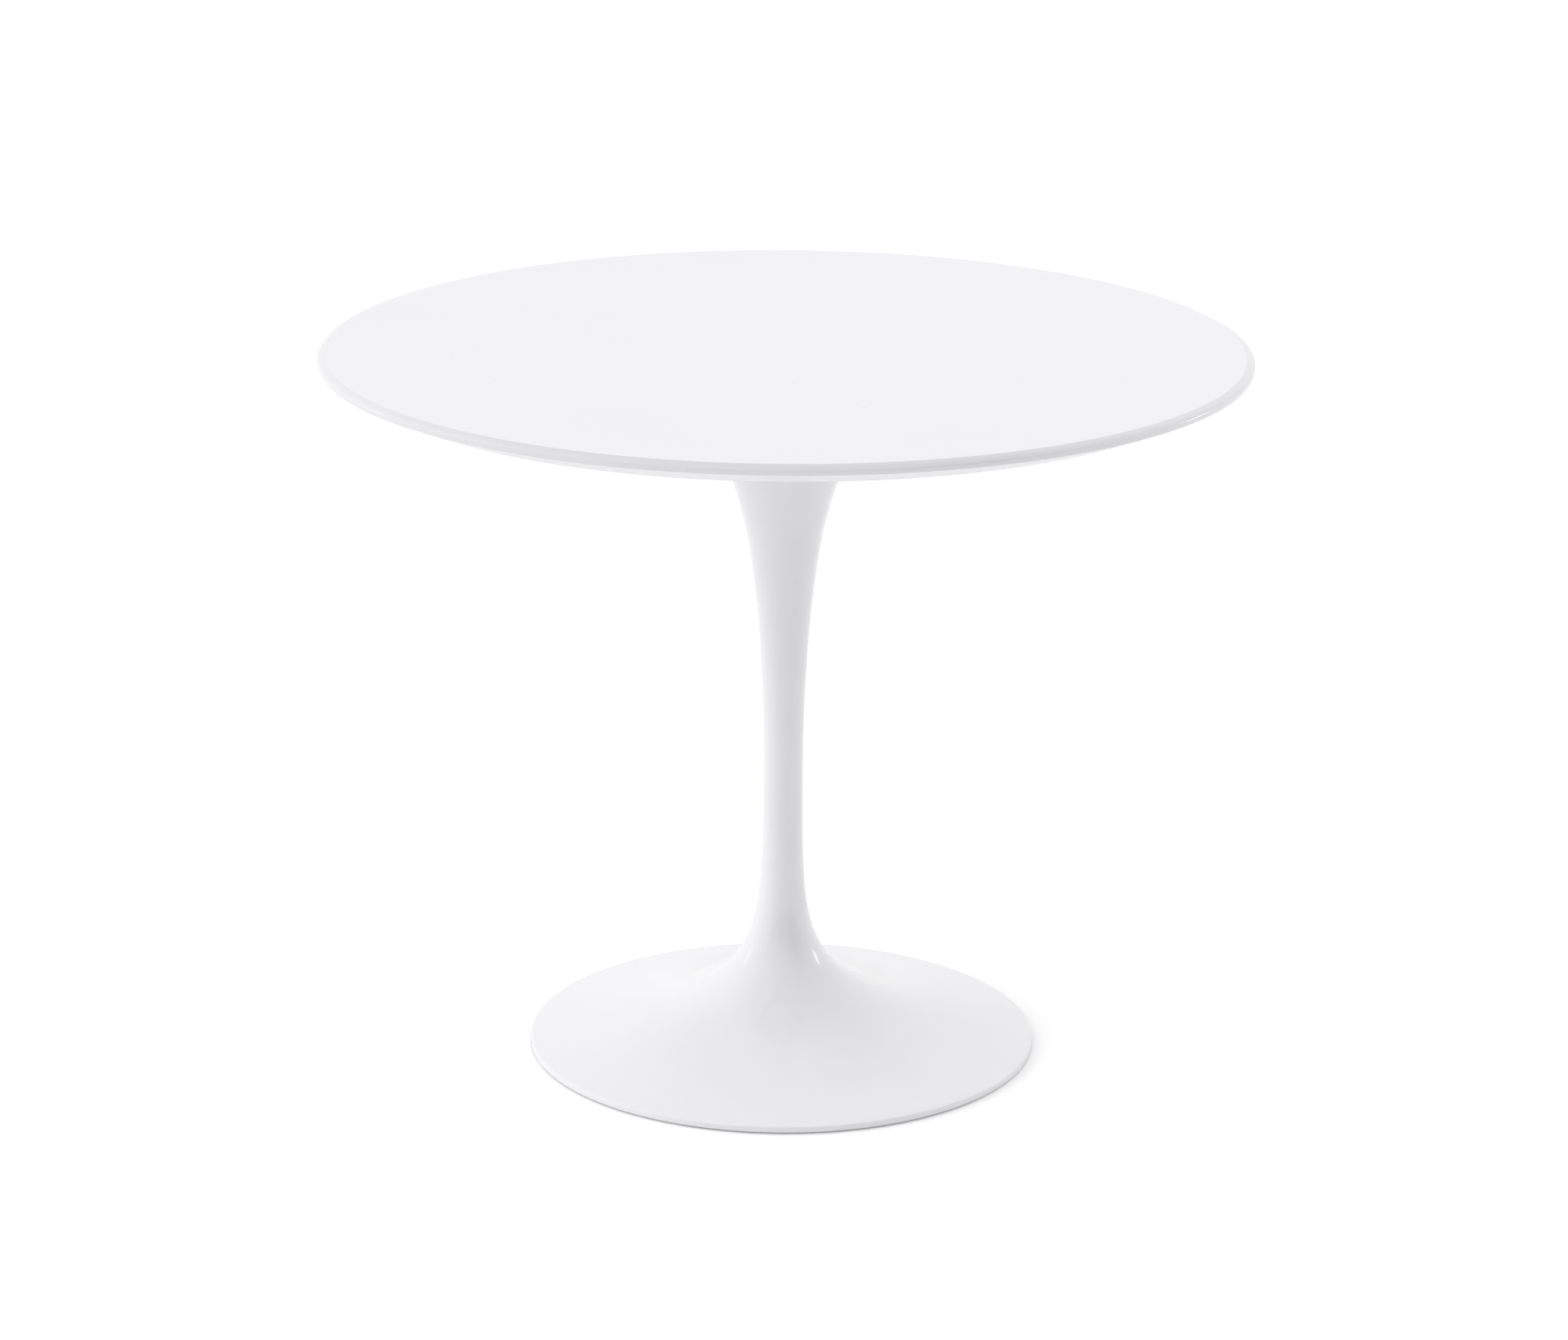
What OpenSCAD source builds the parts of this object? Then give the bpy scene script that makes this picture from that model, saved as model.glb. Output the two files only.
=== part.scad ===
// Round pedestal table.
// A laminate-faced round top with an undercut bevel sits on a hollow one-piece trumpet casting.
// One long tie rod pulls the top's steel plate down onto the casting, and four levelling
// glides under the foot carry the table.
// Units are millimetres and +Z is up. The origin is on the floor, under the middle of the table.

/* [Overall] */
// Diameter of the table top, over the edge moulding
top_d = 910; // [760:10:1200]
// Height of the table's upper face above the floor
table_h = 720; // [690:1:760]
// Diameter of the foot
foot_d = 509; // [460:1:620]
// Gap between the foot's rim and the floor
floor_gap = 2; // [1.5:0.1:3.5]

/* [Table top] */
// Thickness of the whole top
top_t = 24.7; // [22:0.1:32]
// Thickness of the laminate on the upper face
laminate_t = 1; // [0.6:0.1:1.6]
// Thickness of the balancing sheet on the underside
backing_t = 0.8; // [0.5:0.1:1.2]
// Width of the undercut bevel, seen from above
bevel_w = 38; // [30:0.5:60]

/* [Edge moulding] */
// Height of the edge that is seen from the side
nose_h = 9; // [7:0.1:12]
// How far the moulding stands out past the laminate
nose_w = 8; // [6:0.1:10]
// How far below the upper face the moulding is widest
nose_drop = 5.5; // [4:0.1:6.5]
// How far the lower crease lies in from the widest line
nose_tuck = 0.5; // [0.2:0.1:1.5]
// Angle by which the moulding falls away at the laminate's edge, in degrees
nose_fall = 18; // [8:1:30]
// Height of the moulding's tongue
tongue_t = 1.8; // [1.2:0.1:2.4]
// Depth of the moulding's tongue in the core
tongue_l = 10; // [7:0.5:14]
// Depth of the tongue below the upper face, to its middle
tongue_drop = 6.5; // [5:0.1:7.5]
// Height of one barb on the tongue
barb_h = 0.4; // [0.2:0.05:0.6]
// Number of barbs on each side of the tongue
barb_count = 3; // [2:1:4]

/* [Mounting plate] */
// Diameter of the steel plate under the top
plate_d = 300; // [270:5:360]
// Thickness of the steel plate
plate_t = 5; // [4:0.5:8]
// Chamfer round the plate's lower edge
plate_chamfer = 1.5; // [0.5:0.1:2.5]
// Number of screws that hold the plate
screw_count = 8; // [6:1:12]
// Distance of the screws' axes from the plate's edge
screw_inset = 18; // [15:0.5:22]
// Diameter of the screws' thread
screw_d = 6; // [5:0.5:7]
// Diameter of the screws' countersunk heads
screw_head_d = 12; // [11.5:0.1:13]
// Length of a screw, head included
screw_l = 16; // [14:0.5:19]
// Width across the flats of the screws' key socket
screw_key = 4; // [3:0.5:5]
// Depth of the screws' key socket
screw_key_depth = 2; // [1.5:0.1:2.5]
// Diameter of a threaded insert in the core
insert_d = 10; // [9:0.1:11]
// Length of a threaded insert
insert_l = 13; // [11:0.5:14]
// Diameter of an insert's flange
insert_flange_d = 13; // [12:0.1:14]
// Thickness of an insert's flange
insert_flange_t = 1.2; // [0.8:0.1:1.6]
// Diameter of the turned hub under the plate
hub_d = 44; // [38:0.5:48]
// Height of the hub below the plate
hub_h = 14; // [10:0.5:18]
// Diameter of the hub's spigot, which is welded through the plate
spigot_d = 30; // [24:0.5:34]
// Diameter of the two locating pins
pin_d = 5; // [4:0.1:6]
// Depth of the locating pins in the casting
pin_depth = 11; // [8:0.5:14]

/* [Pedestal] */
// Diameter of the neck at its narrowest
neck_d = 39.6; // [38:0.2:50]
// Height of the narrowest section above the floor
neck_z = 290; // [260:1:320]
// Wall of the casting
wall = 6; // [5:0.1:7]
// Height of the foot's upright rim
rim_h = 6; // [5:0.1:8]
// Width of the solid rim round the hollow
rim_w = 8; // [6:0.5:12]
// Rounding of the rim's upper edge
rim_round = 1.5; // [0.8:0.1:2.5]
// Slope of the foot at its rim, in degrees
rim_slope = 10.5; // [8:0.1:13]
// Radius at which the foot turns into the lower flare
ankle_r = 92.4; // [85:0.1:100]
// Height of the same place above the floor
ankle_z = 53.5; // [50:0.1:58]
// Slope of the casting there, in degrees
ankle_slope = 29.5; // [26:0.1:33]
// Radius at which the neck turns into the upper flare
shoulder_r = 35.5; // [33:0.1:40]
// Height of the same place above the floor
shoulder_z = 521; // [500:1:540]
// Slope of the casting there, in degrees
shoulder_slope = 80.5; // [78:0.1:83]
// Diameter of the flange under the plate
flange_d = 224; // [200:1:236]
// Height of the flange's upright edge
flange_h = 3; // [2:0.1:5]
// Slope of the flare where it meets the flange, in degrees
flange_slope = 40; // [34:0.5:48]
// Width of the flange's machined land
land_w = 12; // [10:0.5:16]
// Height of the land's inner edge
land_h = 5; // [4:0.1:6]

/* [Inside the pedestal] */
// Number of ribs under the foot
rib_count = 8; // [8:4:16]
// Thickness of a rib
rib_t = 6; // [5:0.1:8]
// Height of the ribs' lower edge above the floor, at the rim
rib_out_z = 6; // [5:0.1:7]
// Diameter of the central hub under the foot
core_hub_d = 52; // [50:0.5:58]
// Height of that hub's lower face above the floor
core_hub_z = 38; // [36:0.5:44]
// Length of the close hole for the rod in that hub
rod_seat_l = 24; // [16:1:30]
// Height at which the hub has merged with the neck
core_join_z = 140; // [130:1:150]
// Number of ribs under the flange
top_rib_count = 6; // [4:1:8]
// Outer diameter of the socket that takes the plate's hub
socket_d = 68; // [66:0.5:76]
// Depth of that socket and of its ribs
socket_h = 30; // [26:0.5:36]

/* [Tie rod] */
// Diameter of the rod's thread
rod_d = 16; // [14:0.5:18]
// Diameter of the hole that guides the rod in the foot
rod_hole_d = 17.6; // [16.5:0.1:19]
// Distance from the rod's upper end to the plate's upper face
rod_top_gap = 1; // [0.5:0.1:2]
// Length of the rod that shows below the nut
rod_tail = 4; // [2:0.5:6]
// Chamfer on the rod's ends
rod_chamfer = 1.5; // [0.5:0.1:2]
// Width across the flats of the two nuts
nut_key = 24; // [22:0.5:27]
// Height of the tie nut
nut_h = 13; // [11:0.5:14]
// Height of the lock nut under the hub
lock_nut_h = 8; // [6:0.5:9]
// Diameter of the thrust washer
washer_d = 46; // [40:0.5:48]
// Thickness of the thrust washer
washer_t = 4; // [3:0.1:5]
// Diameter of the spring washer
spring_washer_d = 27.4; // [26:0.1:30]
// Thickness of the spring washer
spring_washer_t = 3.5; // [2.5:0.1:4]
// Width of the spring washer's split
spring_washer_split = 2; // [1:0.1:3]

/* [Levelling glides] */
// Diameter of the circle that the four glides stand on
glide_circle_d = 390; // [360:1:400]
// Diameter of a glide's nylon pad
pad_d = 28; // [24:0.5:32]
// Height of a pad
pad_h = 4; // [3.6:0.1:4.4]
// Chamfer round a pad's edges
pad_chamfer = 0.8; // [0.3:0.1:1.2]
// Thickness of nylon under the screw's head
pad_floor = 1.2; // [1:0.1:1.3]
// Diameter of a glide screw's thread
glide_screw_d = 8; // [6:0.5:8.5]
// Length of a glide screw's thread above its hexagon
glide_screw_l = 8.5; // [7:0.1:9]
// Diameter of the head that swivels in the pad
glide_head_d = 14; // [12:0.5:16]
// Thickness of that head
glide_head_t = 1.6; // [1.2:0.1:1.8]
// Width across the flats of a glide screw's hexagon
glide_key = 13; // [11:0.5:14]
// Height of a glide screw's hexagon
glide_hex_h = 3; // [2.5:0.1:3.4]
// Diameter of the casting's boss above a glide
boss_d = 24; // [20:0.5:28]
// Depth left above a fully screwed-in glide screw
boss_spare = 1; // [0.5:0.1:1.5]

/* [Clearances] */
// Radial clearance of threads, and of the glide screws in their pads
thread_gap = 0.05; // [0.03:0.01:0.08]
// Radial clearance of the plate's screws in their plain holes
screw_gap = 0.3; // [0.2:0.05:0.5]
// Radial clearance of the plate's hub in its socket
hub_gap = 0.3; // [0.2:0.05:0.5]
// Radial clearance of the balancing sheet round the inserts' flanges
flange_gap = 0.5; // [0.2:0.1:0.6]
// Upright clearance between a glide's hexagon and its pad
glide_gap = 0.1; // [0.05:0.05:0.2]

/* [Hidden] */
$fn = 120;
e = 1; // how far a cut runs past the face that it opens

WHITE_TOP = [0.95, 0.95, 0.96];
WHITE_EDGE = [0.90, 0.90, 0.92];
WHITE_LACQUER = [0.88, 0.88, 0.91];
STEEL = [0.62, 0.63, 0.65];
DARK_STEEL = [0.30, 0.31, 0.33];
BRASS = [0.72, 0.60, 0.32];
NYLON = [0.16, 0.16, 0.17];

// Heights of the top's layers
under_z = table_h - top_t;
core_low_z = under_z + backing_t;
core_high_z = table_h - laminate_t;

// Edge moulding and bevel
top_r = top_d / 2;
laminate_r = top_r - nose_w;
crease = [top_r - nose_tuck, table_h - nose_h];
bevel_in = [crease.x - bevel_w, under_z];
bevel_rise = (crease.y - bevel_in.y) / (crease.x - bevel_in.x);
function bevel_z(r) = bevel_in.y + (r - bevel_in.x) * bevel_rise;
function bevel_r(z) = bevel_in.x + (z - bevel_in.y) / bevel_rise;
tongue_z = table_h - tongue_drop;
groove_h = tongue_t + 2 * barb_h;
nose_fullness = 0.55; // how squarely the nose turns, as a share of a full quarter turn

// Mounting plate
plate_low_z = under_z - plate_t;
screw_r = screw_d / 2;
screw_circle_r = plate_d / 2 - screw_inset;
head_h = (screw_head_d - screw_d) / 2;
insert_bore_r = screw_r + thread_gap;
hub_low_z = plate_low_z - hub_h;
pin_circle_r = (hub_d / 2 + hub_gap + socket_d / 2) / 2;

// Pedestal
neck_r = neck_d / 2;
foot_r = foot_d / 2;
flange_r = flange_d / 2;
flange_top_z = plate_low_z;
neck = [neck_r, neck_z];
ankle = [ankle_r, ankle_z];
shoulder = [shoulder_r, shoulder_z];
flange = [flange_r, flange_top_z - flange_h];
rim_arc = [foot_r - rim_round, floor_gap + rim_h - rim_round];
rim_edge = rim_arc + rim_round * [sin(rim_slope), cos(rim_slope)];
// How far each slope is carried into the curve on either side of it
rim_pull = 75;
ankle_pull_out = 40;
ankle_pull_up = 83.6;
neck_pull_down = 157;
neck_pull_up = 38;
shoulder_pull_down = 87;
shoulder_pull_up = 60;
flange_pull = 50;
curve_steps = 16;

// Inside the pedestal
bore_r = neck_r - wall;
socket_r = hub_d / 2 + hub_gap;
socket_z = flange_top_z - socket_h;

// Tie rod
rod_r = rod_d / 2;
rod_high_z = under_z - rod_top_gap;
washer_z = core_hub_z - washer_t;
spring_washer_z = washer_z - spring_washer_t;
nut_z = spring_washer_z - nut_h;
rod_low_z = nut_z - rod_tail;
rod_bore_r = rod_r + thread_gap;

// Glides
glide_r = glide_circle_d / 2;
hex_low_z = pad_h + glide_gap;
boss_z = hex_low_z + glide_hex_h;
glide_screw_r = glide_screw_d / 2;

// ---------- curves ----------

function bezier(p, t) = pow(1 - t, 3) * p[0] + 3 * t * pow(1 - t, 2) * p[1]
    + 3 * t * t * (1 - t) * p[2] + pow(t, 3) * p[3];

function bezier_run(p, t) = 3 * pow(1 - t, 2) * (p[1] - p[0])
    + 6 * t * (1 - t) * (p[2] - p[1]) + 3 * t * t * (p[3] - p[2]);

// Points of a curve, moved to its left by the distance side; the first point is left out
function curve(p, side = 0, steps = curve_steps) = [
    for (i = [1:steps])
        let (run = bezier_run(p, i / steps), along = run / norm(run))
            bezier(p, i / steps) + side * [-along.y, along.x]
];

function arc(middle, r, from, to, steps) = [
    for (i = [0:steps])
        let (a = from + (to - from) * i / steps)
            middle + r * [cos(a), sin(a)]
];

function uphill(slope) = [cos(slope), sin(slope)];
function downhill(slope) = [cos(slope), -sin(slope)];
function inward(slope) = [-cos(slope), sin(slope)];

// The casting's outside runs from the rim in over the foot, up the neck and out to the flange.
// A distance to its left lies inside the wall.
function foot_side(side) = curve([
    rim_edge, rim_edge + rim_pull * inward(rim_slope),
    ankle - ankle_pull_out * inward(ankle_slope), ankle
], side);
function lower_flare_side(side) = curve([
    ankle, ankle + ankle_pull_up * inward(ankle_slope), neck - [0, neck_pull_down], neck
], side);
function neck_side(side) = curve([
    neck, neck + [0, neck_pull_up], shoulder - shoulder_pull_down * uphill(shoulder_slope), shoulder
], side);
function upper_flare_side(side) = curve([
    shoulder, shoulder + shoulder_pull_up * uphill(shoulder_slope),
    flange - flange_pull * uphill(flange_slope), flange
], side);
function trumpet_side(side) = concat(
    foot_side(side), lower_flare_side(side), neck_side(side), upper_flare_side(side)
);

// ---------- helpers ----------

module revolve(points) {
    rotate_extrude() polygon(points);
}

module ring_of(count) {
    for (i = [0:count - 1])
        rotate([0, 0, i * 360 / count]) children();
}

// The glides stand on the diagonals, in line with every second rib
module at_glide(number) {
    rotate([0, 0, 45 + (number - 1) * 90]) translate([glide_r, 0, 0]) children();
}

module at_glides() {
    for (number = [1:4])
        at_glide(number) children();
}

module hexagon(key, h) {
    cylinder(d = key / cos(30), h = h, $fn = 6);
}

module washer(outer_d, inner_r, h) {
    difference() {
        cylinder(d = outer_d, h = h);
        translate([0, 0, -e]) cylinder(r = inner_r, h = h + 2 * e);
    }
}

// A hexagon nut whose corners are turned off at both ends
module nut(key, h, hole_r) {
    corner_r = key / cos(30) / 2;
    drop = (corner_r - key / 2) * tan(30);
    difference() {
        intersection() {
            hexagon(key, h);
            revolve([
                [0, 0], [key / 2, 0], [corner_r, drop],
                [corner_r, h - drop], [key / 2, h], [0, h]
            ]);
        }
        translate([0, 0, -e]) cylinder(r = hole_r, h = h + 2 * e);
    }
}

// ---------- table top ----------

module top_laminate() {
    color(WHITE_TOP)
        translate([0, 0, core_high_z]) cylinder(r = laminate_r, h = laminate_t);
}

// The nose turns over from the laminate's edge, falls to the crease and runs back along the bevel
function nose_points() = concat(
    [[laminate_r, table_h]],
    curve([
        [laminate_r, table_h], [laminate_r, table_h] + nose_w * nose_fullness * downhill(nose_fall),
        [top_r, table_h - nose_drop * (1 - nose_fullness)], [top_r, table_h - nose_drop]
    ], steps = 10),
    curve([
        [top_r, table_h - nose_drop], [top_r, table_h - (nose_drop + nose_h) / 2],
        crease + [nose_tuck / 3, (nose_h - nose_drop) / 4], crease
    ], steps = 4)
);

function barb_points(side) = [
    for (i = [0:barb_count - 1])
        let (pitch = tongue_l / (barb_count + 1), r = laminate_r - tongue_l + pitch * (i + 0.4))
            each [[r, tongue_z + side * tongue_t / 2],
                [r + pitch * 0.7, tongue_z + side * groove_h / 2],
                [r + pitch * 0.7, tongue_z + side * tongue_t / 2]]
];

function reversed(list) = [for (i = [len(list) - 1:-1:0]) list[i]];

module rim_moulding() {
    color(WHITE_EDGE) revolve(concat(
        nose_points(),
        [[laminate_r, bevel_z(laminate_r)], [laminate_r, tongue_z - tongue_t / 2]],
        reversed(barb_points(-1)),
        [[laminate_r - tongue_l, tongue_z - tongue_t / 2],
            [laminate_r - tongue_l, tongue_z + tongue_t / 2]],
        barb_points(1),
        [[laminate_r, tongue_z + tongue_t / 2]]
    ));
}

module insert_hole() {
    translate([screw_circle_r, 0, core_low_z - e]) cylinder(d = insert_d, h = insert_l + e);
    translate([screw_circle_r, 0, core_low_z - e])
        cylinder(d = insert_flange_d, h = insert_flange_t + e);
    // room for the screw's tip above the insert
    translate([screw_circle_r, 0, core_low_z])
        cylinder(r = insert_bore_r, h = plate_low_z + screw_l + e - core_low_z);
}

module top_core() {
    color(WHITE_LACQUER) difference() {
        revolve([
            [0, core_low_z], [bevel_r(core_low_z), core_low_z],
            [laminate_r, bevel_z(laminate_r)], [laminate_r, core_high_z], [0, core_high_z]
        ]);
        // groove for the moulding's tongue
        translate([0, 0, tongue_z - groove_h / 2]) difference() {
            cylinder(r = laminate_r + e, h = groove_h);
            translate([0, 0, -e]) cylinder(r = laminate_r - tongue_l, h = groove_h + 2 * e);
        }
        ring_of(screw_count) insert_hole();
    }
}

module backing_laminate() {
    color(WHITE_LACQUER) difference() {
        revolve([
            [0, under_z], [bevel_in.x, under_z], [bevel_r(core_low_z), core_low_z], [0, core_low_z]
        ]);
        ring_of(screw_count) translate([screw_circle_r, 0, under_z - e])
            cylinder(r = insert_flange_d / 2 + flange_gap, h = backing_t + 2 * e);
    }
}

module threaded_inserts() {
    color(BRASS) ring_of(screw_count) translate([screw_circle_r, 0, core_low_z]) difference() {
        union() {
            cylinder(d = insert_flange_d, h = insert_flange_t);
            cylinder(d = insert_d, h = insert_l);
        }
        translate([0, 0, -e]) cylinder(r = insert_bore_r, h = insert_l + 2 * e);
    }
}

// ---------- mounting plate ----------

module mounting_plate() {
    color(DARK_STEEL) difference() {
        revolve([
            [0, plate_low_z], [plate_d / 2 - plate_chamfer, plate_low_z],
            [plate_d / 2, plate_low_z + plate_chamfer], [plate_d / 2, under_z], [0, under_z]
        ]);
        translate([0, 0, plate_low_z - e]) cylinder(d = spigot_d, h = plate_t + 2 * e);
        ring_of(2) translate([pin_circle_r, 0, plate_low_z - e])
            cylinder(d = pin_d, h = plate_t + 2 * e);
        ring_of(screw_count) translate([screw_circle_r, 0, plate_low_z]) {
            translate([0, 0, -e]) cylinder(r = screw_r + screw_gap, h = plate_t + 2 * e);
            cylinder(r1 = screw_head_d / 2, r2 = screw_r, h = head_h);
        }
    }
}

module plate_hub() {
    color(STEEL) difference() {
        union() {
            translate([0, 0, hub_low_z]) cylinder(d = hub_d, h = hub_h);
            translate([0, 0, plate_low_z]) cylinder(d = spigot_d, h = plate_t);
        }
        translate([0, 0, hub_low_z - e]) cylinder(r = rod_bore_r, h = hub_h + plate_t + 2 * e);
    }
}

module plate_screws() {
    color(STEEL) ring_of(screw_count) translate([screw_circle_r, 0, plate_low_z]) difference() {
        union() {
            cylinder(r1 = screw_head_d / 2, r2 = screw_r, h = head_h);
            cylinder(r = screw_r, h = screw_l);
        }
        translate([0, 0, -e]) hexagon(screw_key, screw_key_depth + e);
    }
}

module locating_pins() {
    color(STEEL) ring_of(2) translate([pin_circle_r, 0, flange_top_z - pin_depth])
        cylinder(d = pin_d, h = pin_depth + plate_t);
}

// ---------- pedestal ----------

module trumpet() {
    revolve(concat(
        [[0, floor_gap], [foot_r, floor_gap]],
        arc(rim_arc, rim_round, 0, 90 - rim_slope, 4),
        trumpet_side(0),
        [[flange_r, flange_top_z], [0, flange_top_z]]
    ));
}

// The hollow follows the outside at the wall's distance, short of the solid rim and the land
module hollow() {
    land_z = flange_top_z - land_h;
    revolve(concat(
        [[0, floor_gap - e], [foot_r - rim_w, floor_gap - e]],
        [for (p = trumpet_side(wall))
            if (p.x < foot_r - rim_w && p.y > floor_gap && p.y < land_z) p],
        [[flange_r - land_w, land_z], [flange_r - land_w, flange_top_z + e],
            [0, flange_top_z + e]]
    ));
}

// Upright ribs that run out from the axis. Their lower edge is level as far as the hub, then
// runs straight to the height far at the radius reach
module ribs(count, hub_r, near, reach, far, top) {
    ring_of(count) rotate([90, 0, 0])
        linear_extrude(rib_t, center = true)
            polygon([[0, near], [hub_r, near], [reach, far], [reach, top], [0, top]]);
}

module webs() {
    ribs(rib_count, core_hub_d / 2, core_hub_z, foot_r, rib_out_z, core_join_z - wall);
    ribs(top_rib_count, socket_d / 2, socket_z, flange_r, socket_z, flange_top_z);
    translate([0, 0, core_hub_z]) cylinder(d = core_hub_d, h = core_join_z - core_hub_z);
    translate([0, 0, socket_z]) cylinder(d = socket_d, h = socket_h);
    at_glides() translate([0, 0, boss_z]) cylinder(d = boss_d, h = ankle_z - boss_z);
}

module pedestal() {
    seat_top_z = core_hub_z + rod_seat_l;
    color(WHITE_LACQUER) difference() {
        trumpet();
        difference() {
            hollow();
            webs();
        }
        translate([0, 0, core_hub_z - e]) cylinder(d = rod_hole_d, h = rod_seat_l + 2 * e);
        translate([0, 0, seat_top_z]) cylinder(r = bore_r, h = core_join_z + e - seat_top_z);
        translate([0, 0, socket_z - e]) cylinder(r = socket_r, h = socket_h + 2 * e);
        ring_of(2) translate([pin_circle_r, 0, flange_top_z - pin_depth])
            cylinder(d = pin_d, h = pin_depth + e);
        at_glides() translate([0, 0, boss_z - e])
            cylinder(r = glide_screw_r + thread_gap, h = glide_screw_l + boss_spare + e);
    }
}

// ---------- tie rod ----------

module tie_rod() {
    tip_r = rod_r - rod_chamfer;
    color(STEEL) revolve([
        [0, rod_low_z], [tip_r, rod_low_z], [rod_r, rod_low_z + rod_chamfer],
        [rod_r, rod_high_z - rod_chamfer], [tip_r, rod_high_z], [0, rod_high_z]
    ]);
}

module rod_lock_nut() {
    color(STEEL) translate([0, 0, hub_low_z - lock_nut_h]) nut(nut_key, lock_nut_h, rod_bore_r);
}

module thrust_washer() {
    color(STEEL) translate([0, 0, washer_z]) washer(washer_d, rod_bore_r, washer_t);
}

module spring_washer() {
    color(DARK_STEEL) translate([0, 0, spring_washer_z]) difference() {
        washer(spring_washer_d, rod_bore_r, spring_washer_t);
        translate([0, -spring_washer_split / 2, -e])
            cube([spring_washer_d, spring_washer_split, spring_washer_t + 2 * e]);
    }
}

module tie_nut() {
    color(STEEL) translate([0, 0, nut_z]) nut(nut_key, nut_h, rod_bore_r);
}

// ---------- levelling glides ----------

// A nylon disc whose hollow holds the screw's head, so the screw can turn in it
module glide_pad(number) {
    color(NYLON) at_glide(number) difference() {
        revolve([
            [0, 0], [pad_d / 2 - pad_chamfer, 0], [pad_d / 2, pad_chamfer],
            [pad_d / 2, pad_h - pad_chamfer], [pad_d / 2 - pad_chamfer, pad_h], [0, pad_h]
        ]);
        translate([0, 0, pad_floor])
            cylinder(r = glide_head_d / 2 + thread_gap, h = glide_head_t + thread_gap);
        translate([0, 0, pad_floor])
            cylinder(r = glide_screw_r + thread_gap, h = pad_h - pad_floor + e);
    }
}

module glide_screw(number) {
    color(STEEL) at_glide(number) {
        translate([0, 0, pad_floor]) cylinder(d = glide_head_d, h = glide_head_t);
        translate([0, 0, pad_floor])
            cylinder(r = glide_screw_r, h = boss_z + glide_screw_l - pad_floor);
        translate([0, 0, hex_low_z]) hexagon(glide_key, glide_hex_h);
    }
}

top_laminate();
rim_moulding();
top_core();
backing_laminate();
threaded_inserts();
mounting_plate();
plate_hub();
plate_screws();
locating_pins();
pedestal();
tie_rod();
rod_lock_nut();
thrust_washer();
spring_washer();
tie_nut();
glide_pad(1);  // glide_pad_1
glide_pad(2);  // glide_pad_2
glide_pad(3);  // glide_pad_3
glide_pad(4);  // glide_pad_4
glide_screw(1);  // glide_screw_1
glide_screw(2);  // glide_screw_2
glide_screw(3);  // glide_screw_3
glide_screw(4);  // glide_screw_4
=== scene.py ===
# %% [markdown]
# # A round pedestal table
# The real table has three things to look at: a thin matt top with a rounded nose and a wide
# bevel cut under it, a pedestal cast in one piece and sprayed with gloss lacquer, and the small
# hardware that only shows from below. Nearly every piece is turned, so most of them start as
# half an outline that is spun about the table's axis.

# %% Load the frame
import math

import bmesh
import bpy
from mathutils import Matrix, Vector


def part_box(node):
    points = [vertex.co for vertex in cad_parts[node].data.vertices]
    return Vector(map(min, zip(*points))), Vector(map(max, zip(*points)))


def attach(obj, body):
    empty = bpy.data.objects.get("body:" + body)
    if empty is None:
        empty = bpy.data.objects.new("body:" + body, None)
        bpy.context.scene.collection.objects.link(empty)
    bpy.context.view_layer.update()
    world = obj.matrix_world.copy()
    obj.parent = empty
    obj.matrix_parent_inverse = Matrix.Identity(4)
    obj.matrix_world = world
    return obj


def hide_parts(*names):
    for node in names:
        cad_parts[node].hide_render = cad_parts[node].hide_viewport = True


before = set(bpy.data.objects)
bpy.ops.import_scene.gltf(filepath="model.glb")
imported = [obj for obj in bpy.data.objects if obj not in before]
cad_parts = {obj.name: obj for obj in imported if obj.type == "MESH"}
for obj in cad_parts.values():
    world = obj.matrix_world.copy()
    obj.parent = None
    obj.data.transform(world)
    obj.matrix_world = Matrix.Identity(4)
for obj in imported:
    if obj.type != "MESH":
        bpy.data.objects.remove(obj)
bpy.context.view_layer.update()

# %% [markdown]
# Places and sizes come from the frame, so that a dressed piece lies exactly where the solid one
# does. A node's box gives a turned piece its radius, its foot and its head. All the outlines
# below are written in millimetres, because that is how a table is drawn.

# %% Read the turned pieces' sizes
MM = 0.001


def radius_of(node):
    """Half the width of a CAD node, in millimetres."""
    low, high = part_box(node)
    return (high.x - low.x) / 2 / MM


def heights_of(node):
    """The lowest and highest point of a CAD node, in millimetres."""
    low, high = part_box(node)
    return low.z / MM, high.z / MM


TOP_R = radius_of("rim_moulding")
LAMINATE_R = radius_of("top_laminate")
FOOT_R = radius_of("pedestal")
LAMINATE_Z, TABLE_H = heights_of("top_laminate")
MOULDING_Z = heights_of("rim_moulding")[0]
UNDER_Z, CORE_Z = heights_of("backing_laminate")
PLATE_Z = heights_of("mounting_plate")[0]
FOOT_Z, FLANGE_Z = heights_of("pedestal")
print(f"top {2 * TOP_R:.0f} mm and foot {2 * FOOT_R:.0f} mm across, {TABLE_H:.0f} mm high")

# %% [markdown]
# ## Camera
# The camera stands at a person's eye height and looks down at the table from a few steps back.
# The matrix is built from its three axes, so that the view's small roll is easy to state.

# %% Camera
CAMERA_PLACE = Vector((0.0, -4.5357, 1.79248))
CAMERA_DOWN = 0.29961
CAMERA_ROLL = 0.0072
LENS_MM, SENSOR_MM = 109.74, 36.0


def new_object(name, data):
    """An object that shows the data, put in the scene."""
    thing = bpy.data.objects.new(name, data)
    bpy.context.scene.collection.objects.link(thing)
    return thing


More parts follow.
